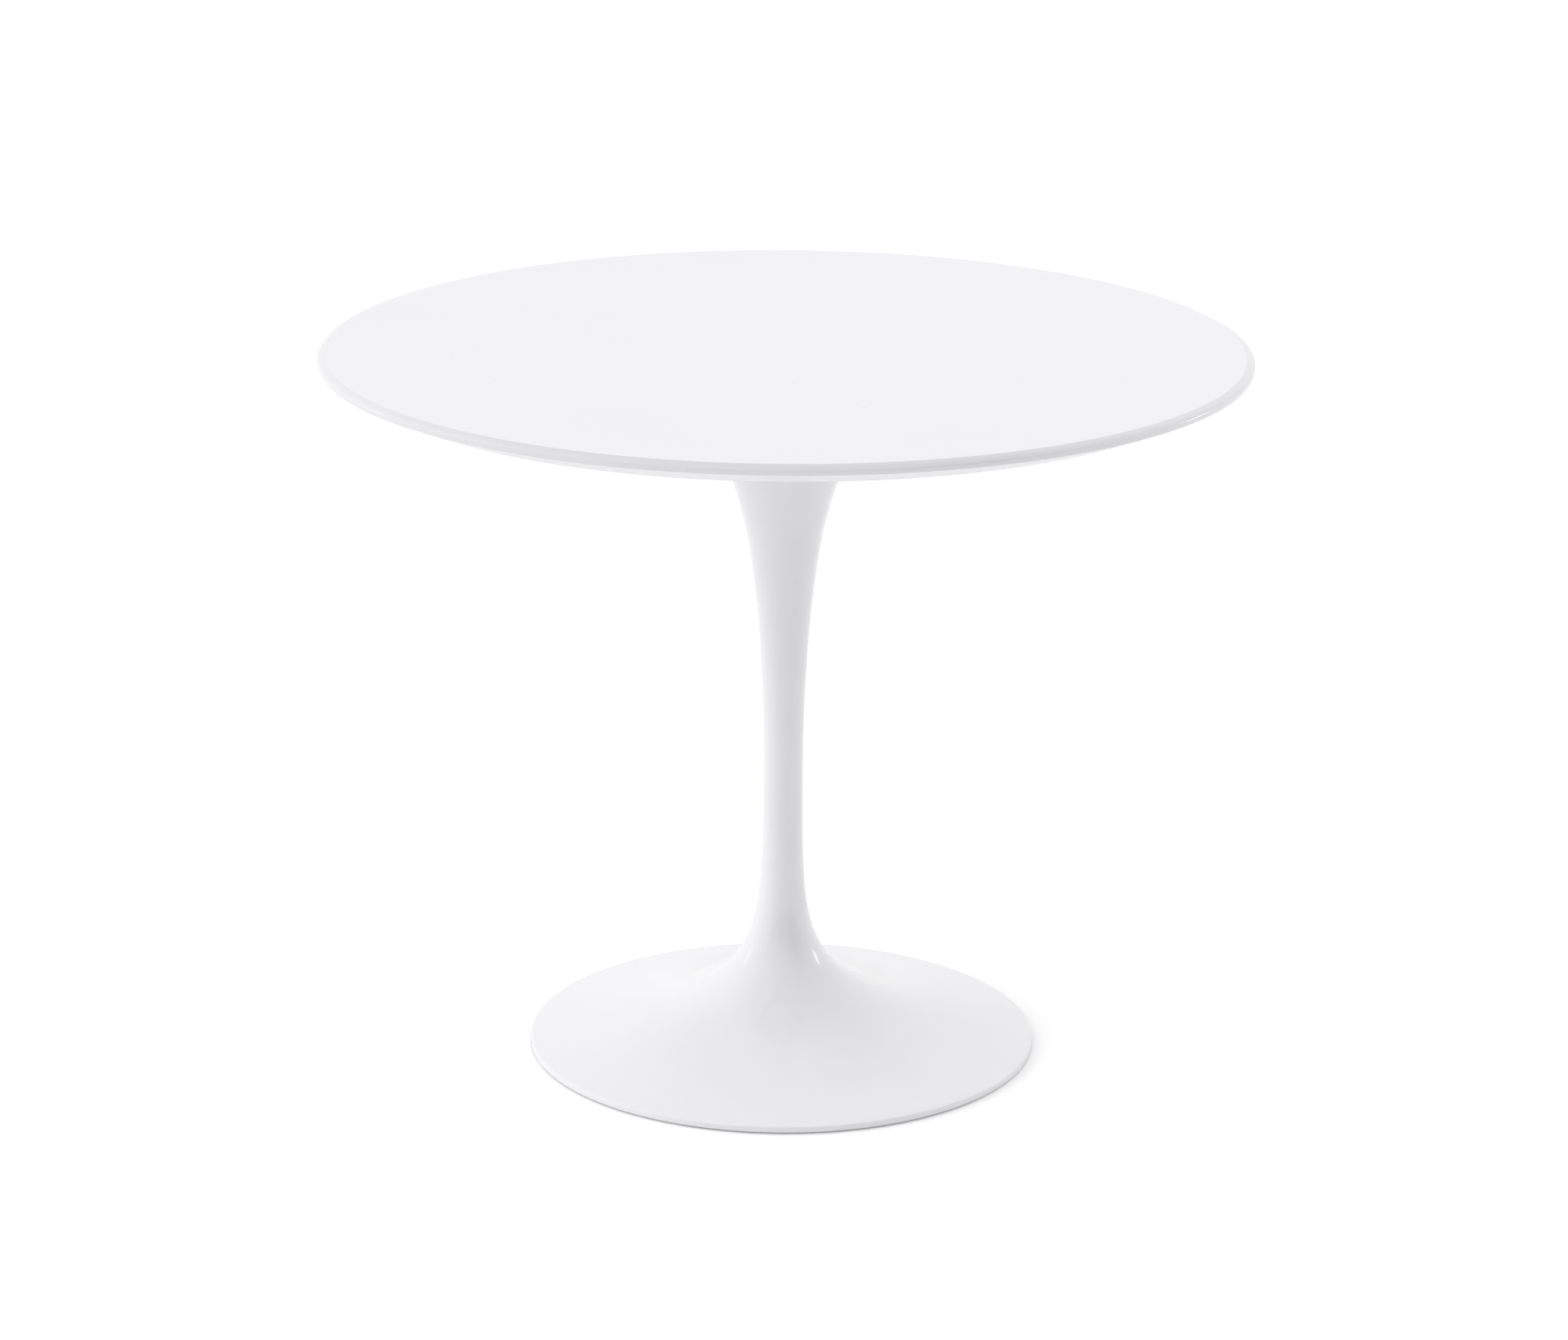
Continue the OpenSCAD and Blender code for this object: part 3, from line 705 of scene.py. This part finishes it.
piece("countersunk_screws", together(ring_of(screw_mesh(), SCREW_COUNT)), [ZINC], "zinc_steel",
      "plate_screws")

# %% [markdown]
# The inserts and pins never show while the table is whole, and their CAD solids have all the
# detail that they need, so they only get their finishes.

# %% Finishes for the hidden CAD pieces
for node, finish in (("threaded_inserts", BRASS), ("locating_pins", TURNED)):
    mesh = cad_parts[node].data
    mesh.materials.clear()
    mesh.materials.append(finish)
    print(node, "wears", finish.name)

# %% [markdown]
# ## The pedestal
# The pedestal is one hollow casting. Its outside is four cubic curves end to end: the foot, the
# lower flare, the neck and the upper flare. Each meets the next at the same slope, which is why
# the handles on both sides of a join lie on one line. A handle's length says how far the curve
# keeps that slope. The rim stands upright for 6 mm with a small round above it.

# %% The trumpet's outline
NECK = pt(19.8, 290)
ANKLE, ANKLE_SLOPE = pt(92.4, 53.5), 180 - 29.5
SHOULDER, SHOULDER_SLOPE = pt(35.5, 521), 80.5
RIM_SLOPE, RIM_ROUND, RIM_H = 180 - 10.5, 1.5, 6
FLANGE_SLOPE, FLANGE_T = 40, 3
FLANGE = pt(112, FLANGE_Z - FLANGE_T)
RIM_ARC = pt(FOOT_R - RIM_ROUND, FOOT_Z + RIM_H - RIM_ROUND)
RIM_EDGE = RIM_ARC + along(RIM_SLOPE - 90) * RIM_ROUND
CURVE_STEPS, FOOT_EDGE = 28, 0.5


def trumpet_side(side=0.0):
    """The outside from the rim up to the flange, moved to its left by side."""
    return (
        curve(RIM_EDGE, RIM_EDGE + along(RIM_SLOPE) * 75, ANKLE - along(ANKLE_SLOPE) * 40, ANKLE,
              CURVE_STEPS, side)
        + curve(ANKLE, ANKLE + along(ANKLE_SLOPE) * 83.6, NECK - pt(0, 157), NECK, CURVE_STEPS, side)
        + curve(NECK, NECK + pt(0, 38), SHOULDER - along(SHOULDER_SLOPE) * 87, SHOULDER,
                CURVE_STEPS, side)
        + curve(SHOULDER, SHOULDER + along(SHOULDER_SLOPE) * 60, FLANGE - along(FLANGE_SLOPE) * 50,
                FLANGE, CURVE_STEPS, side))


def trumpet_mesh():
    rim_low = arc(pt(FOOT_R - FOOT_EDGE, FOOT_Z + FOOT_EDGE), FOOT_EDGE, -90, 0, 3)
    edge = arc(pt(FLANGE.x - EDGE, FLANGE_Z - EDGE), EDGE, 0, 90, 3)
    return spun([(0, FOOT_Z), *rim_low, *arc(RIM_ARC, RIM_ROUND, 0, RIM_SLOPE - 90, 8),
                 *trumpet_side(), *edge, (0, FLANGE_Z)])


print("outline with", len(trumpet_side()), "points")

# %% [markdown]
# The hollow is the same outline moved in by the wall's thickness, kept short of the solid rim
# and of the flange's machined land.

# %% The hollow
WALL, RIM_W, LAND_W, LAND_H = 6.0, 8.0, 12.0, 5.0


def hollow_mesh():
    land_z = FLANGE_Z - LAND_H
    inside = [p for p in trumpet_side(WALL) if p.x < FOOT_R - RIM_W and FOOT_Z < p.y < land_z]
    low, high = FOOT_Z - PAST, FLANGE_Z + PAST
    return spun([(0, low), (FOOT_R - RIM_W, low), *inside, (FLANGE.x - LAND_W, land_z),
                 (FLANGE.x - LAND_W, high), (0, high)])


print("wall", WALL, "mm")

# %% [markdown]
# Ribs, the core's hub, the plate's socket and the glides' bosses stand inside the hollow. They
# are cut out of the hollow's mesh first, and what is left of it is then cut out of the trumpet.
# That way nothing can stand out of the casting's outside. A rib is a flat polygon that is
# extruded and rounded along its edges.

# %% Ribs and bosses
CORE_HUB_R, CORE_HUB_Z, CORE_JOIN_Z = 26.0, 38.0, 140.0
SOCKET_R, SOCKET_Z = 34.0, FLANGE_Z - 30
RIB_T, ROUNDING, RIB_LOW = 6.0, 1.2, 6
FOOT_RIBS, FLANGE_RIBS, OVER = 8, 6, 5
GLIDE_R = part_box("glide_pad_1")[0].to_2d().length / MM + radius_of("glide_pad_1") * math.sqrt(2)
GLIDE_COUNT, GLIDE_START = 4, 45
BOSS_R, THREAD_HOLD = 12.0, 8.5
BOSS_Z = heights_of("glide_screw_1")[1] - THREAD_HOLD


def rib_mesh(points):
    bm = bmesh.new()
    verts = [bm.verts.new(Vector((p[0], -RIB_T / 2, p[1])) * MM) for p in points]
    face = bm.faces.new(verts)
    grown = bmesh.ops.extrude_face_region(bm, geom=[face])["geom"]
    moved = [v for v in grown if isinstance(v, bmesh.types.BMVert)]
    bmesh.ops.translate(bm, verts=moved, vec=(0, RIB_T * MM, 0))
    bmesh.ops.bevel(bm, geom=bm.edges[:], offset=ROUNDING * MM, segments=2, profile=0.5,
                    affect="EDGES", material=-1)
    return closed_mesh(bm)


def webs():
    foot_rib = rib_mesh([(0, CORE_HUB_Z), (CORE_HUB_R, CORE_HUB_Z), (FOOT_R, RIB_LOW),
                         (FOOT_R, CORE_JOIN_Z - WALL), (0, CORE_JOIN_Z - WALL)])
    flange_rib = rib_mesh([(0, SOCKET_Z), (FLANGE.x, SOCKET_Z), (FLANGE.x, FLANGE_Z + OVER),
                           (0, FLANGE_Z + OVER)])
    boss = bar(BOSS_R, BOSS_Z, ANKLE.y, (GLIDE_R, 0))
    return [*ring_of(foot_rib, FOOT_RIBS), *ring_of(flange_rib, FLANGE_RIBS),
            bar(CORE_HUB_R, CORE_HUB_Z, CORE_JOIN_Z, steps=96), bar(SOCKET_R, SOCKET_Z, FLANGE_Z, steps=96),
            *ring_of(boss, GLIDE_COUNT, GLIDE_START)]


print(f"glides on a circle of {2 * GLIDE_R:.0f} mm")

# %% [markdown]
# The casting gets two finishes. A face is lacquered if its middle lies on the trumpet's
# outline, and sand-cast if not. The outline's points rise from the rim to the flange, so a face
# is compared with the two points that it lies between.

# %% Trumpet casting
SEAT_T, HUB_GAP = 24, 0.3
SEAT_TOP_Z = CORE_HUB_Z + SEAT_T
ROD_HOLE_R, SOCKET_BORE_R = 8.8, HUB_R + HUB_GAP
GLIDE_SCREW_R, GLIDE_BORE_H = 4.0, 9.5
FACET_GAP, SKIN = 0.3, 1.5


def casting_mesh():
    cavity = combined(hollow_mesh(), "DIFFERENCE", *webs())
    glide_bore = bar(GLIDE_SCREW_R + THREAD_GAP, BOSS_Z - PAST, BOSS_Z + GLIDE_BORE_H, (GLIDE_R, 0))
    drills = [bar(ROD_HOLE_R, CORE_HUB_Z - PAST, SEAT_TOP_Z + PAST),
              bar(NECK.x - WALL, SEAT_TOP_Z, CORE_JOIN_Z + PAST),
              bar(SOCKET_BORE_R, SOCKET_Z - PAST, FLANGE_Z + PAST, steps=96),
              *ring_of(bar(PIN_R, PIN_Z, FLANGE_Z + PAST, (PIN_CIRCLE_R, 0)), 2),
              *ring_of(glide_bore, GLIDE_COUNT, GLIDE_START)]
    return combined(trumpet_mesh(), "DIFFERENCE", cavity, *drills)


def on_outside(middle, outline):
    """True where a point of the casting lies on the outline, the solid rim or the land."""
    r, z = middle.to_2d().length / MM, middle.z / MM
    on_land = z > FLANGE_Z - LAND_H and r > FLANGE.x - LAND_W + FACET_GAP
    if on_land or r > FOOT_R - RIM_W + FACET_GAP:
        return True
    for low, high in zip(outline, outline[1:]):
        if low.y <= z <= high.y:
            return r > low.x + (high.x - low.x) * (z - low.y) / (high.y - low.y) - SKIN
    return False


casting = piece("trumpet_casting", casting_mesh(), [GLOSS_LACQUER, CAST], "pedestal_lacquer",
                "pedestal")
outline = trumpet_side()
for face in casting.data.polygons:
    face.material_index = int(not on_outside(face.center, outline))
print(sum(f.material_index for f in casting.data.polygons), "faces inside")

# %% [markdown]
# ## The tie rod
# One long threaded rod pulls the plate and the foot together. A thread is a short zigzag that
# is spun while it climbs one pitch per turn, so each turn's upper end meets the lower end of
# the next. Its two ends are cut level and closed, and the first thread is turned down to a cone.
# Inside the neck the rod is out of sight, so only its lower end, which takes the nut, gets one.

# %% Threads
THREAD_STEPS, THREAD_DEPTH, SEAM = 36, 0.58, 2e-6


def thread(r, pitch, low, high, tip_low=0.0, tip_high=0.0):
    """A threaded bar whose ends are coned down by tip_low and tip_high millimetres."""
    root, turns = r - THREAD_DEPTH * pitch, math.ceil((high - low) / pitch) + 2
    zigzag = [(root, 0), (r, 0.3125), (r, 0.4375), (root, 0.75), (root, 1)]
    bm, outline = drawn([(x, low + (up - 1) * pitch) for x, up in zigzag])
    bmesh.ops.spin(bm, geom=outline, cent=(0, 0, 0), axis=(0, 0, 1), angle=2 * math.pi * turns,
                   steps=THREAD_STEPS * turns, dvec=(0, 0, pitch * MM / THREAD_STEPS))
    bmesh.ops.remove_doubles(bm, verts=bm.verts, dist=SEAM)
    for level, up in ((low, -1), (high, 1)):
        bmesh.ops.bisect_plane(bm, geom=bm.verts[:] + bm.edges[:] + bm.faces[:], dist=SAME_PLACE,
                               plane_co=(0, 0, level * MM), plane_no=(0, 0, up), clear_outer=True)
    bmesh.ops.holes_fill(bm, edges=[e for e in bm.edges if e.is_boundary], sides=0)
    for vert in bm.verts:
        limit = min(r - tip_low + vert.co.z / MM - low, r - tip_high + high - vert.co.z / MM)
        reach = vert.co.to_2d().length / MM
        if reach > limit:
            vert.co.x, vert.co.y = vert.co.x * limit / reach, vert.co.y * limit / reach
    return closed_mesh(bm)


ROD_Z, ROD_TOP_Z = heights_of("tie_rod")
ROD_PITCH, ROD_CONE, ROD_TIP, ROD_OVERLAP = 2.0, 1.8, 1.2, 4
SHAFT_R = ROD_R - 0.7
screwed = thread(ROD_R, ROD_PITCH, ROD_Z, SEAT_TOP_Z, tip_low=ROD_CONE)
shaft = spun([(0, SEAT_TOP_Z - ROD_OVERLAP), (SHAFT_R, SEAT_TOP_Z - ROD_OVERLAP),
              (SHAFT_R, ROD_TOP_Z - ROD_TIP), (SHAFT_R - ROD_TIP, ROD_TOP_Z), (0, ROD_TOP_Z)], 48)
piece("threaded_rod", combined(screwed, "UNION", shaft), [ZINC], "zinc_steel", "tie_rod")

# %% [markdown]
# A nut is a hexagonal bar whose corners are turned off by a 30 degree cone at both ends. The
# prism is trimmed by that turned shape, and the bore gets a short countersink.

# %% Nuts
NUT_KEY, FACE_INSET, SINK = 24, 0.4, 1.6


def nut_mesh(low, high):
    corner, face_r = NUT_KEY / math.sqrt(3), NUT_KEY / 2 - FACE_INSET
    drop = (corner - face_r) * math.tan(math.radians(30))
    turned = spun([(0, low), (face_r, low), (corner, low + drop), (corner, high - drop),
                   (face_r, high), (0, high)], 96)
    drill = spun([(0, low - PAST), (BORE_R + SINK, low - PAST), (BORE_R, low + EDGE),
                  (BORE_R, high - EDGE), (BORE_R + SINK, high + PAST), (0, high + PAST)], 48)
    return combined(combined(prism(NUT_KEY, low, high), "INTERSECT", turned), "DIFFERENCE", drill)


for name, node in (("clamping_nut", "tie_nut"), ("thin_lock_nut", "rod_lock_nut")):
    piece(name, nut_mesh(*heights_of(node)), [ZINC], "zinc_steel", node)

# %% [markdown]
# The thrust washer spreads the nut's pull over the casting. Punching leaves one edge rounded
# and the other sharp. The spring washer is a bar of square section wound through almost a full
# turn, so it is spun by less than 360 degrees and closed at its two cut ends.

# %% Washers
SOFT_EDGE = 0.8
WASHER_R = radius_of("thrust_washer")
WASHER_Z, WASHER_TOP_Z = heights_of("thrust_washer")
punched = arc(pt(WASHER_R - SOFT_EDGE, WASHER_Z + SOFT_EDGE), SOFT_EDGE, -90, 0, 4)
piece("thrust_ring", spun([(BORE_R, WASHER_Z), *punched, (WASHER_R, WASHER_TOP_Z), (BORE_R, WASHER_TOP_Z)],
                          128, closed=True), [ZINC], "zinc_steel", "thrust_washer")


def split_ring_mesh(inner, outer, low, high, gap=2.0, edge=0.35):
    half_gap = math.asin(gap / 2 / outer)
    section = [(inner + edge, low), (outer - edge, low), (outer, low + edge), (outer, high - edge),
               (outer - edge, high), (inner + edge, high), (inner, high - edge), (inner, low + edge)]
    bm, outline = drawn(section, closed=True)
    bmesh.ops.rotate(bm, verts=bm.verts[:], cent=(0, 0, 0), matrix=Matrix.Rotation(half_gap, 3, "Z"))
    bmesh.ops.spin(bm, geom=outline, cent=(0, 0, 0), axis=(0, 0, 1),
                   angle=2 * (math.pi - half_gap), steps=96)
    bmesh.ops.holes_fill(bm, edges=[e for e in bm.edges if e.is_boundary], sides=0)
    return closed_mesh(bm)


piece("split_washer", split_ring_mesh(BORE_R, radius_of("spring_washer"), *heights_of("spring_washer")),
      [BLACKENED], "dark_steel", "spring_washer")

# %% [markdown]
# ## Levelling glides
# Four glides carry the table. A nylon pad snaps over the screw's round head and slides on the
# floor while the screw turns, and a hexagon under the foot takes a spanner. Each pad and each
# screw moves, so each is a piece of its own, made on the table's axis and then carried out.

# %% Nylon pad
PAD_R, PAD_H, PAD_ROUND = radius_of("glide_pad_1"), heights_of("glide_pad_1")[1], 0.8
DISC_R, STEM_R, SNAP_GAP = 7, 4, 0.05
PAD_FLOOR, PAD_LIP = 1.2, 2.85


def pad_mesh():
    round_r, neck_r, disc_r = PAD_R - PAD_ROUND, STEM_R + SNAP_GAP, DISC_R + SNAP_GAP
    return spun([
        (0, 0), *arc(pt(round_r, PAD_ROUND), PAD_ROUND, -90, 0, 4),
        *arc(pt(round_r, PAD_H - PAD_ROUND), PAD_ROUND, 0, 90, 4), (neck_r, PAD_H),
        (neck_r, PAD_LIP), (disc_r, PAD_LIP), (disc_r, PAD_FLOOR), (0, PAD_FLOOR)], 96)


print(f"pads {2 * PAD_R:.0f} mm across and {PAD_H:.0f} mm thick")

# %% [markdown]
# The screw is a disc inside the pad, a thin neck, a hexagon with its corners turned off, and the
# thread that goes up into the boss. They overlap a little, so that they can be joined.

# %% Levelling screw
SCREW_LOW, SCREW_HIGH = heights_of("glide_screw_1")
HEX_KEY, HEX_H, HEX_GAP, HEX_DROP = 13, 3.0, 0.1, 0.7
HEX_LOW, HEX_HIGH = PAD_H + HEX_GAP, PAD_H + HEX_GAP + HEX_H
HEX_FACE_R, HEX_CORNER_R = 6.2, 7.6
DISC_T, DISC_EDGE, LAP = 1.6, 0.4, 0.5
GLIDE_PITCH, GLIDE_CONE = 1.25, 0.9


def glide_screw_mesh():
    disc_top, neck_top = SCREW_LOW + DISC_T, HEX_LOW + LAP
    head = spun([(0, SCREW_LOW), (DISC_R - DISC_EDGE, SCREW_LOW), (DISC_R, SCREW_LOW + DISC_EDGE),
                 (DISC_R, disc_top), (STEM_R, disc_top), (STEM_R, neck_top), (0, neck_top)], 48)
    turned = spun([(0, HEX_LOW), (HEX_FACE_R, HEX_LOW), (HEX_CORNER_R, HEX_LOW + HEX_DROP),
                   (HEX_CORNER_R, HEX_HIGH - HEX_DROP), (HEX_FACE_R, HEX_HIGH), (0, HEX_HIGH)], 96)
    hexagon = combined(prism(HEX_KEY, HEX_LOW, HEX_HIGH), "INTERSECT", turned)
    shank = thread(GLIDE_SCREW_R, GLIDE_PITCH, HEX_HIGH - LAP, SCREW_HIGH, tip_high=GLIDE_CONE)
    return combined(hexagon, "UNION", head, shank)


print(f"hexagon {HEX_KEY} mm across its flats")

# %% [markdown]
# Each glide gets a copy of both. The copies are carried out inside their meshes, so that every
# object stays at the origin.

# %% The four glides
def carried_out(mesh, number):
    """A copy of the mesh at the glide with that number."""
    copy = mesh.copy()
    bearing = GLIDE_START + 360 / GLIDE_COUNT * (number - 1)
    turn = Matrix.Rotation(math.radians(bearing), 4, "Z")
    copy.transform(turn @ Matrix.Translation((GLIDE_R * MM, 0, 0)))
    return copy


pad, glide_screw = pad_mesh(), glide_screw_mesh()
for number in range(1, GLIDE_COUNT + 1):
    piece(f"nylon_pad_{number}", carried_out(pad, number), [NYLON], "nylon",
          f"glide_pad_{number}", body=f"glide_{number}_pad")
    piece(f"levelling_screw_{number}", carried_out(glide_screw, number), [ZINC], "zinc_steel",
          f"glide_screw_{number}", body=f"glide_{number}_screw")

# %% [markdown]
# ## Floor
# The floor is a wide pale sheet. Seen straight on or in a mirror it glows a little, so it comes
# out white while the table's shadow stays on it. Its underside is see-through, and so is a
# round window under the foot, which lets a camera and some light in from below.

# %% Floor
FLOOR_SIZE = 80.0
NEAR_GLOW, FAR_GLOW, MIRROR_SHARE = 0.12, 0.13, 0.36


def floor_finish():
    finish = Finish("white floor", Roughness=0.9, Specular_IOR_Level=0.0,
                    Emission_Color=(1, 1, 1, 1))
    reach = maths(finish.tree, "LENGTH", finish.place, kind=VECTORS)
    path = finish.add("ShaderNodeLightPath").outputs
    seen = finish.sum_of(path["Is Camera Ray"], path["Is Glossy Ray"], MIRROR_SHARE)
    seen = finish.sum_of(seen, path["Is Transmission Ray"], 1.0)
    spread = finish.ranged(reach, 0.3, 1.6, NEAR_GLOW, FAR_GLOW)
    shade = finish.noise(0.8, detail=1)
    finish.put(finish.shader.inputs["Emission Strength"], maths(finish.tree, "MULTIPLY", seen, spread))
    finish.put(finish.shader.inputs["Base Color"],
               finish.tinted(shade, (0.3, (0.925, 0.925, 0.925)), (0.7, (0.945, 0.945, 0.945))))
    under = finish.add("ShaderNodeNewGeometry").outputs["Backfacing"]
    window = finish.ranged(reach, 0.228, 0.232, 1, 0)
    open_part = maths(finish.tree, "MAXIMUM", under, window)
    clear = finish.add("ShaderNodeBsdfTransparent").outputs["BSDF"]
    both = finish.add("ShaderNodeMixShader", {0: open_part, 1: finish.shader.outputs["BSDF"], 2: clear})
    out = next(n for n in finish.tree.nodes if n.type == "OUTPUT_MATERIAL")
    finish.put(out.inputs["Surface"], both.outputs["Shader"])
    return finish.material


def sheet_object(name, finish, place):
    """A flat sheet, one metre square before it is placed, that belongs to the studio."""
    bm = bmesh.new()
    bmesh.ops.create_grid(bm, x_segments=1, y_segments=1, size=0.5, matrix=place)
    mesh = bpy.data.meshes.new(name)
    bm.to_mesh(mesh)
    bm.free()
    mesh.materials.append(finish)
    thing = new_object(name, mesh)
    print(f"{name}: {thing.dimensions.x:.1f} m wide")
    return thing


sheet_object("floor", floor_finish(), Matrix.Diagonal((FLOOR_SIZE, FLOOR_SIZE, 1, 1)))

# %% [markdown]
# ## Light
# The studio is a white room with soft light from nearly everywhere, and most of it comes from
# the left. The gloss lacquer also mirrors two small lamps that stand beside the table, a little
# behind it: they are the two bright flecks where the neck spreads into the foot.

# %% Lamps
LAMP_SIZE, LAMP_BEARING, LAMP_RISE, LAMP_AWAY = (0.45, 0.55), 72, 19.5, 3.0
MIDDLE_OF_TABLE = Vector((0, 0, 0.4))


def around(azimuth, elevation, distance=1.0, height=0.0):
    """A place seen from the table at that bearing: 0 is straight behind, and left is negative."""
    a, e = math.radians(azimuth), math.radians(elevation)
    step = Vector((math.sin(a) * math.cos(e), math.cos(a) * math.cos(e), math.sin(e)))
    return step * distance + Vector((0, 0, height))


def lamp(name, bearing, power):
    """A rectangular area lamp that faces the table's middle."""
    light = bpy.data.lights.new(name, "AREA")
    light.shape, light.energy = "RECTANGLE", power
    light.size, light.size_y = LAMP_SIZE
    thing = new_object(name, light)
    place = around(bearing, LAMP_RISE, LAMP_AWAY, 0.1)
    facing = (MIDDLE_OF_TABLE - place).to_track_quat("-Z", "Y")
    thing.matrix_world = Matrix.Translation(place) @ facing.to_matrix().to_4x4()
    print(f"{name}: {power} W")


lamp("left lamp", -LAMP_BEARING, 1.2)
lamp("right lamp", LAMP_BEARING, 2.8)

# %% [markdown]
# Behind the camera the studio is dark up to head height, with gaps between the screens that
# stand there. They show as soft upright streaks low on the pedestal's neck. The screens are
# kept out of the light's way: only mirror rays meet them.

# %% Dark screens
def dark_cloth():
    finish = Finish("dark cloth", Specular_IOR_Level=0.1)
    weave = finish.noise(300, detail=2)
    finish.bump(weave, 0.0005, 0.5)
    return finish.wear(finish.tinted(weave, (0.3, (0.03, 0.03, 0.032)), (0.7, (0.07, 0.07, 0.074))),
                       finish.ranged(weave, 0.3, 0.7, 0.85, 0.95))


DARK_CLOTH = dark_cloth()


def screen(name, bearing, width, height=2.6, distance=5.6):
    """An upright dark screen that faces the table and stands on the floor."""
    upright = Matrix.Rotation(math.pi / 2, 4, "X")
    sized = Matrix.Diagonal((width, 1, height, 1))
    turn = Matrix.Rotation(-math.radians(bearing), 4, "Z")
    place = Matrix.Translation(around(bearing, 0, distance, height / 2))
    thing = sheet_object(name, DARK_CLOTH, place @ turn @ sized @ upright)
    for kind in ("diffuse", "shadow", "camera"):
        setattr(thing, f"visible_{kind}", False)


screen("left screen", -146, 0.7)
screen("middle screen", 180, 0.9)
screen("right screen", 140, 2.2)

# %% [markdown]
# The room is the world's colour. It is made of broad glows, each centred on one bearing and one
# height, which fade with the angle from that centre. A world's Generated coordinates are
# directions, so a dot product with the centre's direction, raised to a power, is such a glow.
#
# The glows alone light the table. A mirror ray also meets a paler strip where the wall stands on
# the floor, and never more than plain white, so that reflections don't burn out. A camera ray
# finds white everywhere, which makes the background.

# %% Room
GLOWS = {  # bearing, height and strength
    "low behind": (0, 15, 0.82), "low right behind": (45, 15, 1.42), "low right": (90, 15, 0.83),
    "low left behind": (-45, 15, 1.04), "low left": (-90, 15, 1.97), "low left front": (-135, 15, 0.59),
    "high behind": (0, 50, 0.35), "high left": (-90, 50, 1.16), "high right": (90, 50, 0.73),
    "high front": (180, 50, 1.60), "overhead": (0, 90, 0.15), "below": (0, -90, 0.8)}
TIGHTNESS = 8
WALL_FOOT, WALL_FADE, MIRROR_LIMIT = 0.26, 5.0, 1.0

room = bpy.data.worlds.new("room")
room.use_nodes = True
bpy.context.scene.world = room


def step(*inputs, **settings):
    return maths(room.node_tree, *inputs, **settings)


def glows(look):
    total = 0.0
    for bearing, height, strength in GLOWS.values():
        facing = step("MAXIMUM", step("DOT_PRODUCT", look, around(bearing, height), kind=VECTORS), 0.0)
        total = step("MULTIPLY_ADD", step("POWER", facing, TIGHTNESS), strength, total)
    return total


def as_seen(look, lit, path):
    """What camera, mirror and transmission rays find, from what lights the table."""
    seen = step("ADD", path["Is Camera Ray"], path["Is Glossy Ray"])
    seen = step("ADD", seen, path["Is Transmission Ray"])
    rise = step("ABSOLUTE", step("DOT_PRODUCT", look, (0, 0, 1), kind=VECTORS))
    level = step("POWER", step("SUBTRACT", 1.0, rise), WALL_FADE)
    mirrored = step("MINIMUM", step("MULTIPLY_ADD", level, WALL_FOOT, lit), MIRROR_LIMIT)
    shown = step("MAXIMUM", mirrored, path["Is Camera Ray"])
    return step("MULTIPLY_ADD", seen, step("SUBTRACT", shown, lit), lit)


look = room.node_tree.nodes.new("ShaderNodeTexCoord").outputs["Generated"]
path = room.node_tree.nodes.new("ShaderNodeLightPath").outputs
background = room.node_tree.nodes["Background"]
background.inputs["Color"].default_value = (1, 1, 1, 1)
wire(room.node_tree, background.inputs["Strength"], as_seen(look, glows(look), path))
print(len(GLOWS), "glows make the room")

# %% [markdown]
